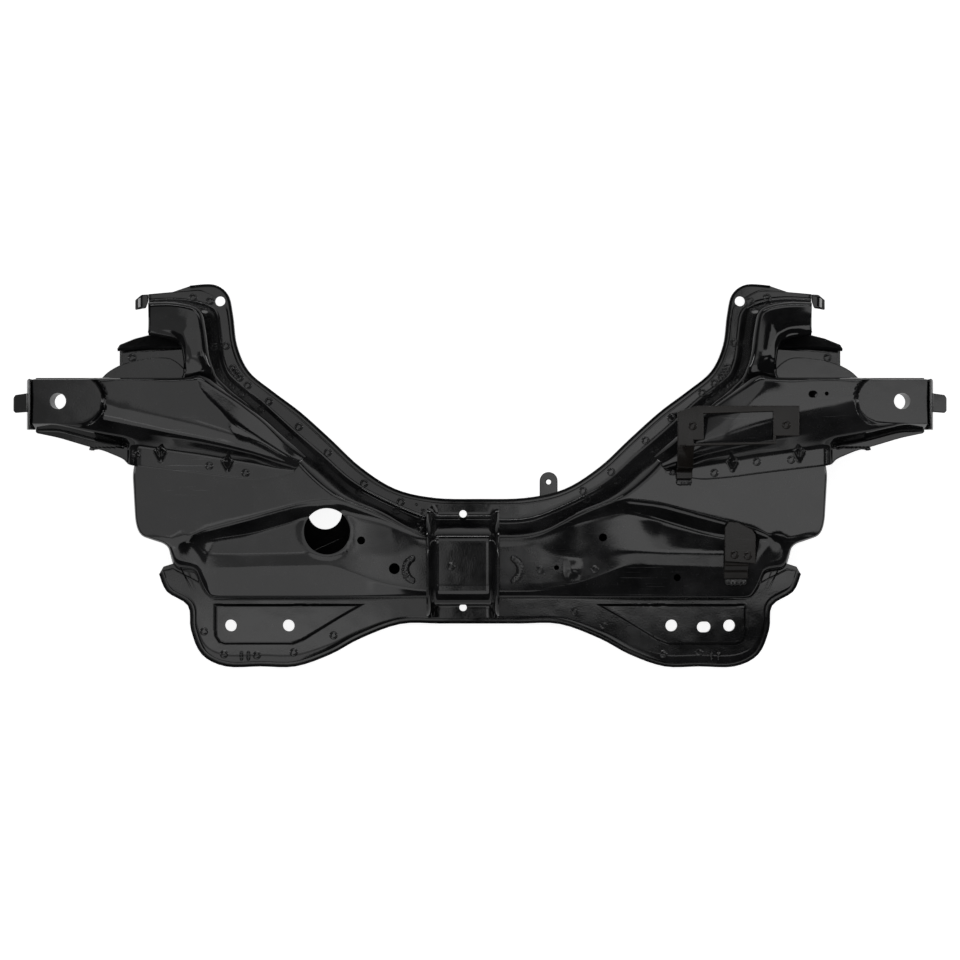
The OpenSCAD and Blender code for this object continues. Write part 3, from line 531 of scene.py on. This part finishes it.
def surface_under(objs):
    """Finder of the highest point of the pieces below a plan place, and the normal there."""
    graph = bpy.context.evaluated_depsgraph_get()
    trees = [BVHTree.FromObject(o, graph) for o in objs]

    def find(x, y):
        best = None
        for tree in trees:
            hit, normal, _, _ = tree.ray_cast(Vector((x * MM, y * MM, RAY_TOP * MM)), Vector((0, 0, -1)))
            if hit is not None and (best is None or hit.z > best[0].z):
                best = (hit, normal)
        return best

    return find


# Shader helpers

def feed(tree, socket, value):
    """Gives an input a value, an output to follow, or a node whose first output in use it follows."""
    if isinstance(value, bpy.types.Node):
        value = next(out for out in value.outputs if out.enabled)
    if isinstance(value, bpy.types.NodeSocket):
        tree.links.new(value, socket)
    else:
        socket.default_value = value


def node(tree, kind, *ordered, **named):
    """One shader node, to the right of those before it. Names are its settings or inputs, and the rest feed
    its inputs in order."""
    made = tree.nodes.new("ShaderNode" + kind)
    made.location = (200 * len(tree.nodes), 0)
    for key, value in named.items():
        if key in made.inputs:
            feed(tree, made.inputs[key], value)
        else:
            setattr(made, key, value)
    for socket, value in zip(made.inputs, ordered):
        feed(tree, socket, value)
    return made


def new_group(name, inputs, outputs):
    """An empty node group with named float or colour sockets, and its two ends."""
    group = bpy.data.node_groups.new(name, "ShaderNodeTree")
    for way, sockets in (("INPUT", inputs), ("OUTPUT", outputs)):
        for label, kind in sockets.items():
            group.interface.new_socket(name=label, in_out=way, socket_type="NodeSocket" + kind)
    start = group.nodes.new("NodeGroupInput")
    end = group.nodes.new("NodeGroupOutput")
    end.location = (3600, 0)
    return group, start, end


def paint_film_group():
    """Dip-coat film: pale haze in patches and fine dust specks over the colour, uneven gloss, and a height
    that is a fine peel texture plus the slow waves of pressed sheet."""
    group, start, end = new_group(
        "paint_film", {"Colour": "Color", "Haze Colour": "Color", "Haze": "Float", "Gloss Low": "Float",
                       "Gloss High": "Float"}, {"Colour": "Color", "Roughness": "Float", "Height": "Float"})
    given = start.outputs
    place = node(group, "TexCoord").outputs["Object"]
    patch = node(group, "TexNoise", Vector=place, Scale=14.0, Detail=5.0, Roughness=0.6)
    speck = node(group, "TexNoise", Vector=place, Scale=420.0, Detail=2.0)
    peel = node(group, "TexNoise", Vector=place, Scale=650.0, Detail=1.0)
    wave = node(group, "TexNoise", Vector=place, Scale=22.0, Detail=2.0)
    patches = node(group, "MapRange", patch, 0.42, 0.72)
    specks = node(group, "MapRange", speck, 0.64, 0.74)
    both = node(group, "Math", specks, 0.6, patches, operation="MULTIPLY_ADD")
    amount = node(group, "Math", both, given["Haze"], operation="MULTIPLY", use_clamp=True)
    mix = node(group, "Mix", data_type="RGBA", Factor=amount, A=given["Colour"], B=given["Haze Colour"])
    gloss = node(group, "MapRange", patches, 0, 1, given["Gloss Low"], given["Gloss High"])
    height = node(group, "Math", peel, 0.05, wave, operation="MULTIPLY_ADD")
    for socket, value in zip(end.inputs, (mix, gloss, height)):
        feed(group, socket, value)
    return group


def scratch_group():
    """Fine bright scratches: thin bands of a stretched noise, kept to a few patches."""
    group, start, end = new_group("fine_scratches", {"Amount": "Float"}, {"Mask": "Float"})
    place = node(group, "TexCoord").outputs["Object"]
    turn = node(group, "Mapping", Vector=place, Rotation=(0, 0, 0.5), Scale=(18, 520, 120))
    lines = node(group, "TexNoise", Vector=turn, Scale=1.0, Detail=3.0)
    thin = node(group, "MapRange", lines, 0.66, 0.72)
    patch = node(group, "TexNoise", Vector=place, Scale=9.0, Detail=2.0)
    where = node(group, "MapRange", patch, 0.55, 0.68)
    meet = node(group, "Math", thin, where, operation="MULTIPLY")
    scaled = node(group, "Math", meet, start, operation="MULTIPLY", use_clamp=True)
    feed(group, end.inputs["Mask"], scaled)
    return group


def painted(name, colour, haze_colour, haze, gloss, bump, scratch=0.3, coat=0.0, shine=0.5):
    """Painted metal: a dark film under a clear gloss coat, with haze, scratches and an uneven surface."""
    found = bpy.data.materials.get(name)
    if found:
        return found
    material = bpy.data.materials.new(name)
    material.use_nodes = True
    tree = material.node_tree
    film = node(tree, "Group", (*colour, 1), (*haze_colour, 1), haze, *gloss,
                node_tree=bpy.data.node_groups.get("paint_film") or paint_film_group())
    lines = node(tree, "Group", scratch,
                 node_tree=bpy.data.node_groups.get("fine_scratches") or scratch_group())
    mix = node(tree, "Mix", data_type="RGBA", Factor=lines, A=film.outputs["Colour"],
               B=(0.16, 0.16, 0.165, 1))
    relief = node(tree, "Bump", Strength=bump, Distance=0.0012, Height=film.outputs["Height"])
    shader = tree.nodes["Principled BSDF"]
    for key, value in (("Base Color", mix), ("Roughness", film.outputs["Roughness"]), ("Normal", relief),
                       ("Specular IOR Level", shine), ("Coat Weight", coat), ("Coat Roughness", 0.08)):
        feed(tree, shader.inputs[key], value)
    return material


def dip_coat(name):
    """Gloss black dip coat, under the name of the material."""
    look = bpy.context.scene.crossmember_finish
    return painted(name, look.paint, look.haze, haze=0.3, gloss=(0.06, 0.15), bump=0.2)


def panel_paint():
    """The dip coat of the pressings."""
    return dip_coat("black_dip_coat")


def inner_paint_with_painted_shade():
    """The dip coat on the back panel, with painted shade where a face looks up and lies off the joint's
    plane, as on the floor of its pan and in its pockets: there it turns matt and its specular level drops
    almost to nothing."""
    material = dip_coat("inner_dip_coat_painted_shade")
    tree = material.node_tree
    if tree.nodes.get("dull"):
        return material
    shader = tree.nodes["Principled BSDF"]
    gloss = shader.inputs["Roughness"].links[0].from_socket
    place = node(tree, "TexCoord")
    split = node(tree, "SeparateXYZ", place.outputs["Object"])
    facing = node(tree, "SeparateXYZ", place.outputs["Normal"])
    # Mask of the up-facing faces inside the pan and pockets, which get painted shade
    level = node(tree, "Math", split.outputs["Z"], JOINT_Z * MM, 0.5 * MM, operation="COMPARE")
    low = node(tree, "Math", 1.0, level, operation="SUBTRACT")
    above = node(tree, "Math", facing.outputs["Z"], 0.1, operation="GREATER_THAN")
    inside = node(tree, "Math", low, above, operation="MULTIPLY")
    dull = node(tree, "MapRange", inside, 0, 1, gloss, 0.85, name="dull")
    # Specular level near nothing there: painted shade that darkens the enclosed inside of the pan
    shine = node(tree, "MapRange", inside, 0, 1, 0.5, 0.04)
    feed(tree, shader.inputs["Roughness"], dull)
    feed(tree, shader.inputs["Specular IOR Level"], shine)
    return material


def bracket_paint():
    """The same coat on the added brackets, thinner and slightly brown."""
    look = bpy.context.scene.crossmember_finish
    return painted("brown_bracket_coat", look.bracket, look.bracket_haze, haze=0.2, gloss=(0.16, 0.26),
                   bump=0.18, shine=0.25)


def weld_finish():
    """Painted weld metal: rippled, with pale haze in patches."""
    look = bpy.context.scene.crossmember_finish
    return painted("rippled_weld_coat", look.weld, look.haze, haze=0.3, gloss=(0.22, 0.38), bump=0.35,
                   scratch=0.0, coat=0.3)


def floor_finish():
    """Pale floor: a matt colour that keeps the shadow, with a glow for the rays that show the background."""
    material = bpy.data.materials.new("pale_floor")
    material.use_nodes = True
    tree = material.node_tree
    tree.nodes.clear()
    matt = node(tree, "BsdfDiffuse", Color=(*bpy.context.scene.crossmember_finish.floor, 1))
    rays = node(tree, "LightPath").outputs
    seen = node(tree, "Math", rays["Is Glossy Ray"], 0.2, rays["Is Camera Ray"], operation="MULTIPLY_ADD")
    shown = node(tree, "Math", seen, rays["Is Transmission Ray"], operation="MAXIMUM")
    strength = node(tree, "Math", shown, 0.9, operation="MULTIPLY")
    glow = node(tree, "Emission", Strength=strength)
    both = node(tree, "AddShader", matt, glow)
    node(tree, "OutputMaterial", Surface=both)
    return material


def light_world(scene):
    """World: pale up to a low height over the horizon and dark above it, as in a studio with a low wall."""
    world = bpy.data.worlds.new("studio")
    scene.world = world
    world.use_nodes = True
    tree = world.node_tree
    back = tree.nodes["Background"]
    place = node(tree, "TexCoord")
    split = node(tree, "SeparateXYZ", place.outputs["Generated"])
    ramp = node(tree, "MapRange", split.outputs["Z"], 0.03, 0.14, 0.85, 0.02)
    feed(tree, back.inputs["Strength"], ramp)
    feed(tree, back.inputs["Color"], (1, 1, 1, 1))


class CrossmemberSizes(bpy.types.PropertyGroup):
    """Sizes of the pressed and welded details."""
    sheet: FloatProperty(name="Sheet", description="Thickness of the pressings", default=SHEET, min=1, max=5)
    crease: FloatProperty(name="Crease", description="Reach of the rounding either side of a crease",
                          default=4.5, min=0.5, max=12)
    edge: FloatProperty(name="Edge", description="Rounding of cut sheet edges", default=0.9, min=0.1, max=1.2)
    bead: FloatProperty(name="Bead", description="Radius of the weld beads", default=2.4, min=1, max=4)
    spot: FloatProperty(name="Spot", description="Radius of the spot welds", default=3.6, min=2, max=6)


def tint(name, text, value):
    """A colour setting."""
    return FloatVectorProperty(name=name, description=text, subtype="COLOR", default=value, min=0, max=1)


class CrossmemberFinish(bpy.types.PropertyGroup):
    """Colours of the paint and of the stage."""
    paint: tint("Paint", "Colour of the pressings", (0.0045, 0.0046, 0.005))
    haze: tint("Haze", "Colour of dust and haze on the paint", (0.06, 0.06, 0.062))
    bracket: tint("Bracket", "Colour of the added brackets", (0.008, 0.0066, 0.0056))
    bracket_haze: tint("Bracket haze", "Colour of the haze on the brackets", (0.05, 0.043, 0.038))
    weld: tint("Weld", "Colour of the weld beads", (0.008, 0.008, 0.0085))
    floor: tint("Floor", "Colour of the floor", (0.5, 0.5, 0.5))


# Surfaces

def panel_sections():
    """Front panel rows: at each station the section runs over the rim flange, up the wall, over the face's
    ridges and down the turned edge. The left half is the right one mirrored."""
    fine = 40
    u = np.linspace(0, STATIONS, STATIONS * fine + 1)
    foot = smooth_path(WALL_FOOT, u / STATIONS)
    top = smooth_path(WALL_TOP, u / STATIONS)
    set_in = beside(smooth_path(RIM_EDGE, np.linspace(0, 1, 400)), -EDGE_SET)
    rim = even_path(np.concatenate([set_in, RIM_END]), 900)
    near = np.linalg.norm(foot[:, None] - rim[None], axis=2).argmin(1)
    outer = rim[np.maximum.accumulate(near)]
    face = [track(keys, u) + [0, 0, FACE_Z] for keys in (RIDGE_ONE, STEP_FOOT, RIDGE_TWO, VALLEY, FREE_EDGE)]
    edge = face[-1]
    ahead = track(FREE_EDGE, np.minimum(u + 0.5, STATIONS)) - track(FREE_EDGE, np.maximum(u - 0.5, 0))
    out = unit(np.stack([ahead[:, 1], -ahead[:, 0]], -1))
    depth = np.interp(u, *np.array(EDGE_DEPTH).T)
    lean = np.interp(u, *np.array(EDGE_LEAN).T)[:, None]
    turned = np.column_stack([edge[:, :2] + lean * out, edge[:, 2] - depth])
    flat = np.full(len(u), FLANGE_Z)
    columns = [np.column_stack([outer, flat]), np.column_stack([foot, flat]),
               np.column_stack([top, np.interp(u, *np.array(WALL_TOP_Z).T)]), *face, turned]
    half = np.stack(columns, 1)
    whole = np.concatenate([mirrored(half)[:-1], half])
    return even_rows(soften(whole, fine // 2), PANEL_ROWS)


def panel_relief(points):
    """Pressed relief of the face: a low collar round the access hole, a bell curve of the distance from its
    edge, and a square emboss, a smooth step of the larger of the two distances from its middle."""
    on_face = points[..., 2] > FACE_FROM
    away = np.hypot(points[..., 0] - ACCESS[0], points[..., 1] - ACCESS[1]) - ACCESS[2] / 2
    collar = COLLAR[0] * np.exp(-((away - COLLAR[1]) / COLLAR[2]) ** 2)
    points[..., 2] += np.where(on_face, collar, 0)
    off = np.maximum(np.abs(points[..., 0] - EMBOSS[0]), np.abs(points[..., 1] - EMBOSS[1]))
    emboss = EMBOSS[3] / (1 + np.exp((off - EMBOSS[2]) / EMBOSS[4]))
    points[..., 2] += np.where(on_face, emboss, 0)
    return points


def horn_tips():
    """Blunt ends of the rim flange past the towers: flat rulings whose height falls as a parabola."""
    x = np.linspace(TIP_TOP[0][0], TIP_TOP[-1][0], 12)
    top, low = (np.interp(x, *np.array(keys).T)[:, None] for keys in (TIP_TOP, TIP_LOW))
    s = np.linspace(0, 1, 7)[None]
    y = top * (1 - s) + low * s
    fall = np.clip((x - TIP_BEND[0]) / (TIP_BEND[1] - TIP_BEND[0]), 0, 1)
    z = FLANGE_Z - TIP_DROP * fall ** 2
    right = np.stack(np.broadcast_arrays((HX + x)[:, None], y, z[:, None]), -1)
    return [right, mirrored(right)]


def low_flange_rows():
    """Bottom flange: straight rulings from the foot of the fold to the flange's outer edge."""
    outer = even_path(beside(smooth_path(LOW_EDGE, np.linspace(0, 1, 300)), EDGE_SET), 170)
    foot = even_path(HAT_END, 900)
    near = np.linalg.norm(outer[:, None] - foot[None], axis=2).argmin(1)
    inner = foot[np.maximum.accumulate(near)]
    s = np.linspace(0, 1, 9)[None, :, None]
    half = inner[:, None] * (1 - s) + outer[:, None] * s
    half = np.concatenate([half, np.full(half.shape[:2] + (1,), FLANGE_Z)], 2)
    return np.concatenate([mirrored(half)[:-1], half])


def hood_sections():
    """Right hood rows: at each station the section runs from the back edge over the crest and down the
    front slope to the groove, shoulder and flange. The pad is sunk where a round-ended outline lies."""
    fine = 24
    t = np.linspace(0, ARM_STATIONS, ARM_STATIONS * fine + 1)
    crest = np.interp(t, *np.array(CREST_AT).T)
    heights = [np.interp(t, *np.array(k).T) for k in
               (HOOD_EDGE_Z, HOOD_BACK_Z, HOOD_GROOVE_Z, HOOD_SHOULDER_Z, HOOD_FOOT_Z)]
    levels = [heights[0], heights[1], crest, crest, heights[2], heights[3], heights[4], heights[4]]
    rails = (HOOD_EDGE, HOOD_BACK, HOOD_CREASE, HOOD_RIDGE, HOOD_GROOVE, HOOD_SHOULDER, HOOD_FOOT,
             HOOD_FLANGE)
    rows = np.stack([np.column_stack([track(keys, t), z]) for keys, z in zip(rails, levels)], 1)
    rows = even_rows(soften(rows, fine // 2), HOOD_ROWS)
    grid = creased(rows, HOOD_BENDS, HOOD_SPANS, 7)
    x, y, z = grid[..., 0], grid[..., 1], grid[..., 2]
    away = np.hypot(np.minimum(x - PAD[0], 0), y - PAD[1]) - PAD[2]
    ramp = np.clip(away / PAD[3], 0, 1)
    sunk = PAD_Z + (z - PAD_Z) * ramp ** 2 * (3 - 2 * ramp)
    z[...] = np.where((z > PAD_Z) & (x > RAMP_X - 20), np.minimum(z, sunk), z)
    for dart_x, dart_y in DARTS:
        fall = 1 - np.abs(y - dart_y + 1) / DART_RUN - np.abs(x - dart_x) / DART_HALF
        dart = ON_FACE + DART_RISE * np.clip(fall, -1, 1)
        z[...] = np.where(y < dart_y + 3, np.maximum(z, dart), z)
    return grid


def bead_rows(path, radius, ripple, seed):
    """Weld bead: a half-round section carried along the path, its radius swelling in even ripples and a
    little at random, and closing to a point at both ends."""
    rng = np.random.default_rng(seed)
    n = len(path)
    side = unit(np.cross(unit(np.gradient(path, axis=0)), UP))
    s = np.linspace(0, 1, n)
    waves = BEAD_RIPPLE * np.abs(np.sin(np.pi * ripple * s))
    swell = radius * (1 + waves + BEAD_ROUGH * rng.standard_normal(n))
    swell *= np.sqrt(np.clip(1 - (2 * s - 1) ** 8, 0.02, 1))
    turn = np.linspace(0, 2 * np.pi, 18, endpoint=False)
    up = np.sin(turn)
    tall = np.where(up > 0, up, BEAD_SINK * up)
    wide = BEAD_WIDE * np.cos(turn)
    ring = wide[None, :, None] * side[:, None] + tall[None, :, None] * UP[None, None]
    return path[:, None] + swell[:, None, None] * ring


def seat_rows():
    """Right seat plate: straight rulings from its top edge to its lower outline, whose height is a smooth
    step of the distance to the outline."""
    low = np.array(SEAT_OUTLINE)
    x = np.linspace(low[0, 0], low[-1, 0], 190)
    s = np.linspace(0, 1, 60)[None]
    y = SEAT_TOP * (1 - s) + np.interp(x, *low.T)[:, None] * s
    plan = np.stack(np.broadcast_arrays(x[:, None], y), -1)
    outline = even_path(np.concatenate([low, [(low[-1, 0], SEAT_TOP), (low[0, 0], SEAT_TOP)]]), 500)
    inside = np.linalg.norm(plan[:, :, None] - outline[None, None], axis=3).min(2)
    distance, run, rise = SEAT_STEP
    step = np.clip((inside - distance) / run, 0, 1)
    z = SEAT_RIM_Z + rise * step ** 2 * (3 - 2 * step)
    return np.concatenate([plan, z[..., None]], 2)


def saddle_rows():
    """Saddle: a strap path over the beam, carried across X, whose two sides turn outwards along the path's
    normal by a height that fades to nothing at both feet."""
    path = np.array(SADDLE_PATH)
    section = np.stack([np.zeros(len(path)), path[:, 0], path[:, 1]], -1)[None]
    spine = creased(section, SADDLE_BENDS, SADDLE_SPANS, 7)[0]
    spine = even_path(spine[:, 1:], 110)
    ahead = unit(np.gradient(spine, axis=0))
    normal = soften(np.stack([-ahead[:, 1], ahead[:, 0]], -1), 9) * -1
    run = np.linspace(0, 1, len(spine))
    wall = soften(np.interp(run, *np.array(SADDLE_WALL).T)[:, None], 7)
    x, rise = np.array(SADDLE_ACROSS).T
    rows = np.empty((len(spine), len(x), 3))
    rows[..., 0] = x[None]
    rows[..., 1:] = spine[:, None] + normal[:, None] * (wall * rise[None])[..., None]
    return creased(rows, SIDE_BENDS, SIDE_SPANS, 4)


def spot_rings(places, radius, depth):
    """Spot weld: a shallow dish with a low raised ring, a curve of the radius turned about each normal."""
    lift = SPOT_LIFT * depth + SPOT_BASE
    turn = np.linspace(0, 2 * np.pi, 20, endpoint=False)
    grids = []
    for centre, normal in places:
        n = np.array(normal)
        a = np.cross(n, (0.0, 1.0, 0.0))
        a /= np.linalg.norm(a)
        b = np.cross(n, a)
        ring = np.cos(turn)[None, :, None] * a + np.sin(turn)[None, :, None] * b
        grid = np.array(centre) / MM + radius * SPOT_ACROSS[:, None, None] * ring + lift[:, None, None] * n
        grids.append(grid[::-1])
    return grids


def pressing(name, grids, replaced, thickness, holes, low, high, edge=0, crossing=False):
    """A painted sheet from the grids of its face, with thickness behind, rounded edges where given, and holes
    between two heights."""
    obj = make_piece(name, grids, panel_paint(), (replaced,))
    sheet = obj.modifiers.new("Sheet", "SOLIDIFY")
    sheet.thickness = thickness * MM
    sheet.offset = -1
    if edge:
        round_edges(obj, edge, SHEET_TURN, 2, crossing)
    settle(obj)
    cut(obj, holes, low, high, crossing)


# Operators

class CROSSMEMBER_OT_front_panel(bpy.types.Operator):
    """Builds the front pressing with its rim, towers, ridges, flange and holes"""
    bl_idname = "crossmember.front_panel"
    bl_label = "Front Panel"

    def execute(self, context):
        size = context.scene.crossmember_sizes
        radii = [FOOT_BEND, size.crease, size.crease, STEP_BEND, STEP_BEND, VALLEY_BEND, FOOT_BEND]
        face = panel_relief(creased(panel_sections(), radii, PANEL_SPANS))
        holes = [(x, y, d, d, 64 if d > 20 else 32) for x, y, d in PANEL_HOLES] + PANEL_SLOTS
        pressing("front_pressing", [face, low_flange_rows(), *horn_tips()], "front_panel", size.sheet, holes,
                 JOINT_Z - 6, HOOD_Z + 30, size.edge)
        return {"FINISHED"}


class CROSSMEMBER_OT_arms(bpy.types.Operator):
    """Builds the two creased hoods that run out to the body bolts"""
    bl_idname = "crossmember.arms"
    bl_label = "Arm Hoods"

    def execute(self, context):
        size = context.scene.crossmember_sizes
        grid = hood_sections()
        for name, side, shown, slots in (("left_arm", -1, mirrored(grid), []),
                                         ("right_arm", 1, grid, ARM_SLOTS)):
            holes = [(side * BX, BOLT_Y, BOLT_HOLE, BOLT_HOLE, 40), *slots]
            pressing(name + "_hood", [shown], name, size.sheet, holes, CLOSE_Z + 10, HOOD_Z + 30, size.edge,
                     crossing=True)
        return {"FINISHED"}


class CROSSMEMBER_OT_saddle(bpy.types.Operator):
    """Builds the saddle strap over the middle of the beam"""
    bl_idname = "crossmember.saddle"
    bl_label = "Saddle Bracket"

    def execute(self, context):
        holes = [(x, y, d, d) for x, y, d in SADDLE_HOLES]
        pressing("saddle_strap", [saddle_rows()[:, ::-1]], "saddle_bracket", SADDLE_SHEET, holes, JOINT_Z,
                 FLANGE_Z + 10, crossing=True)
        return {"FINISHED"}


class CROSSMEMBER_OT_seats(bpy.types.Operator):
    """Builds the two stepped seat plates with their bolt holes"""
    bl_idname = "crossmember.seats"
    bl_label = "Seat Plates"

    def execute(self, context):
        grid = seat_rows()
        for name, side, shown, slots in (("left_seat_plate", -1, mirrored(grid), []),
                                         ("right_seat_plate", 1, grid, PANEL_SLOTS)):
            holes = [(side * (SEAT_X + k), SEAT_HOLE_Y, SEAT_HOLE, SEAT_HOLE, 32)
                     for k in (-SEAT_PITCH, SEAT_PITCH)]
            pressing(name + "_pressing", [shown], name, SEAT_SKIN, holes + slots, JOINT_Z, FLANGE_Z + 10)
        return {"FINISHED"}


class CROSSMEMBER_OT_plates(bpy.types.Operator):
    """Finishes the flat plates, caps, sleeves and brackets that keep their CAD shape"""
    bl_idname = "crossmember.plates"
    bl_label = "Plates and Brackets"

    def execute(self, context):
        size = context.scene.crossmember_sizes
        own_paint = {"stay_bracket": bracket_paint, "clip_bracket": bracket_paint, "back_panel": inner_paint_with_painted_shade}
        replaced = ("front_panel", "left_arm", "right_arm", "left_seat_plate", "right_seat_plate",
                    "saddle_bracket", "saddle_weld_beads", "bracket_weld_beads")
        for name, obj in frame["nodes"].items():
            if name in replaced:
                continue
            obj.data.materials.clear()
            obj.data.materials.append(own_paint.get(name, panel_paint)())
            if name != "back_panel":
                tidy_cad(obj, size.edge, "pivot" in name)
        return {"FINISHED"}


class CROSSMEMBER_OT_beads(bpy.types.Operator):
    """Builds the weld beads beside the saddle and at the feet of the stay and clip"""
    bl_idname = "crossmember.beads"
    bl_label = "Weld Beads"

    def execute(self, context):
        size = context.scene.crossmember_sizes
        arcs = []
        for x, z, start in SADDLE_ARCS:
            turn = np.radians(np.linspace(start, start + ARC_SWEEP, ARC_ROWS))
            arcs.append(np.stack([x + ARC_RADIUS * np.cos(turn), ARC_Y + ARC_RADIUS * np.sin(turn),
                                  np.full(ARC_ROWS, z)], -1))
        make_piece("saddle_bead", [bead_rows(a, size.bead, 11, k) for k, a in enumerate(arcs)],
                   weld_finish(), ("saddle_weld_beads",), closed=True)
        reach = size.bead + SEAM
        stay_x, stay_y = STAY_FOOT
        clip_x, clip_y = CLIP_FOOT
        lines = [((stay_x - reach, -0.5, ON_FACE + SEAM), (stay_x - reach, 5.5, ON_FACE + SEAM)),
                 ((stay_x, stay_y - reach, FACE_Z + SEAM), (stay_x + 16, stay_y - reach, FACE_Z + SEAM)),
                 ((clip_x, clip_y - reach, FACE_Z - 9.5), (clip_x + 22, clip_y - reach, FACE_Z - 9.5))]
        rows = [bead_rows(np.linspace(a, b, 40), size.bead, 5, 7 + k) for k, (a, b) in enumerate(lines)]
        make_piece("bracket_bead", rows, weld_finish(), ("bracket_weld_beads",), closed=True)
        return {"FINISHED"}


class CROSSMEMBER_OT_spots(bpy.types.Operator):
    """Sets the spot welds on the flanges, hoods and brackets, the weld spatter and the drain marks"""
    bl_idname = "crossmember.spots"
    bl_label = "Spot Welds"

    def execute(self, context):
        size = context.scene.crossmember_sizes
        nodes = ("stay_bracket", "clip_bracket", "left_pivot_plate", "right_pivot_plate",
                 "left_pivot_stiffener", "right_pivot_stiffener")
        pieces = ("front_pressing", "left_arm_hood", "right_arm_hood", "saddle_strap")
        find = surface_under([bpy.data.objects[n] for n in pieces] + [frame["nodes"][n] for n in nodes])

        def rings(spots, radius, depth):
            """Spot welds on the surface under each place."""
            return spot_rings([hit for hit in (find(x, y) for x, y in spots) if hit], radius, depth)

        rim = panel_sections()[:, :2, :2].mean(1)
        rim_spots = rim[(RIM_SHARES * PANEL_ROWS).astype(int)].tolist()
        drops = np.random.default_rng(SPATTER_SEED).uniform(*SPATTER_PATCH, (SPATTER_COUNT, 2)).tolist()
        marks = [np.linspace(*((x, y, DRAIN_Z) for y in DRAIN_ENDS), 24) for x in DRAIN_MARKS]
        welds = rings(PANEL_SPOTS + rim_spots, size.spot, 1.0)
        welds += rings(drops, SPATTER_RADIUS, SPATTER_DEPTH)
        welds += [bead_rows(mark, DRAIN_RADIUS, 1, 20 + k) for k, mark in enumerate(marks)]
        make_piece("panel_spot_welds", welds, panel_paint(), closed=True)
        make_piece("bracket_spot_welds", rings(BRACKET_SPOTS, size.spot, 1.0), bracket_paint(),
                   closed=True)
        return {"FINISHED"}


class CROSSMEMBER_OT_stage(bpy.types.Operator):
    """Sets the floor, the soft light and the camera straight above the part"""
    bl_idname = "crossmember.stage"
    bl_label = "Stage"

    def execute(self, context):
        scene = context.scene
        scene.view_settings.view_transform = "Standard"
        floor_mesh = bpy.data.meshes.new("floor")
        corners = [(x * FLOOR_REACH, y * FLOOR_REACH, FLOOR_Z)
                   for x, y in ((-1, -1), (1, -1), (1, 1), (-1, 1))]
        floor_mesh.from_pydata(corners, [], [(0, 1, 2, 3)])
        floor = bpy.data.objects.new("floor", floor_mesh)
        scene.collection.objects.link(floor)
        floor_mesh.materials.append(floor_finish())
        light_world(scene)
        for name, place, size, brightness in LAMPS:
            lamp = bpy.data.lights.new(name, "AREA")
            lamp.shape = "RECTANGLE"
            lamp.size, lamp.size_y = size
            lamp.energy = 4 * brightness * size[0] * size[1]
            holder = bpy.data.objects.new(name, lamp)
            holder.location = place
            target = (*place[:2], 0) if name.startswith("overhead") else (0, 0, 0)
            aim = Vector(target) - Vector(place)
            holder.rotation_euler = aim.to_track_quat("-Z", "Y").to_euler()
            holder.visible_camera = False
            scene.collection.objects.link(holder)
        camera = bpy.data.cameras.new("camera")
        camera.lens = LENS
        camera.sensor_width = SENSOR
        camera.clip_end = 100
        eye = bpy.data.objects.new("camera", camera)
        eye.location = EYE
        scene.collection.objects.link(eye)
        scene.camera = eye
        return {"FINISHED"}


class CROSSMEMBER_PT_panel(bpy.types.Panel):
    """Sidebar panel with the sizes, colours and pieces"""
    bl_idname = "CROSSMEMBER_PT_panel"
    bl_label = "Pressed Crossmember"
    bl_space_type = "VIEW_3D"
    bl_region_type = "UI"
    bl_category = "Crossmember"

    def draw(self, context):
        for group in (context.scene.crossmember_sizes, context.scene.crossmember_finish):
            for key in group.__annotations__:
                self.layout.prop(group, key)
        for operator in OPERATORS:
            self.layout.operator(operator.bl_idname)


OPERATORS = (CROSSMEMBER_OT_front_panel, CROSSMEMBER_OT_arms, CROSSMEMBER_OT_saddle, CROSSMEMBER_OT_seats,
             CROSSMEMBER_OT_plates, CROSSMEMBER_OT_beads, CROSSMEMBER_OT_spots, CROSSMEMBER_OT_stage)
CLASSES = (CrossmemberSizes, CrossmemberFinish, *OPERATORS, CROSSMEMBER_PT_panel)


def register():
    """Registers the classes and hangs the settings on the scene."""
    for cls in CLASSES:
        bpy.utils.register_class(cls)
    bpy.types.Scene.crossmember_sizes = PointerProperty(type=CrossmemberSizes)
    bpy.types.Scene.crossmember_finish = PointerProperty(type=CrossmemberFinish)


def unregister():
    """Takes the settings and the classes away again."""
    del bpy.types.Scene.crossmember_finish
    del bpy.types.Scene.crossmember_sizes
    for cls in reversed(CLASSES):
        bpy.utils.unregister_class(cls)


def main():
    """Builds every piece and the stage."""
    register()
    bpy.ops.crossmember.front_panel()
    bpy.ops.crossmember.arms()
    bpy.ops.crossmember.saddle()
    bpy.ops.crossmember.seats()
    bpy.ops.crossmember.plates()
    bpy.ops.crossmember.beads()
    bpy.ops.crossmember.spots()
    bpy.ops.crossmember.stage()


if __name__ == "__main__":
    main()
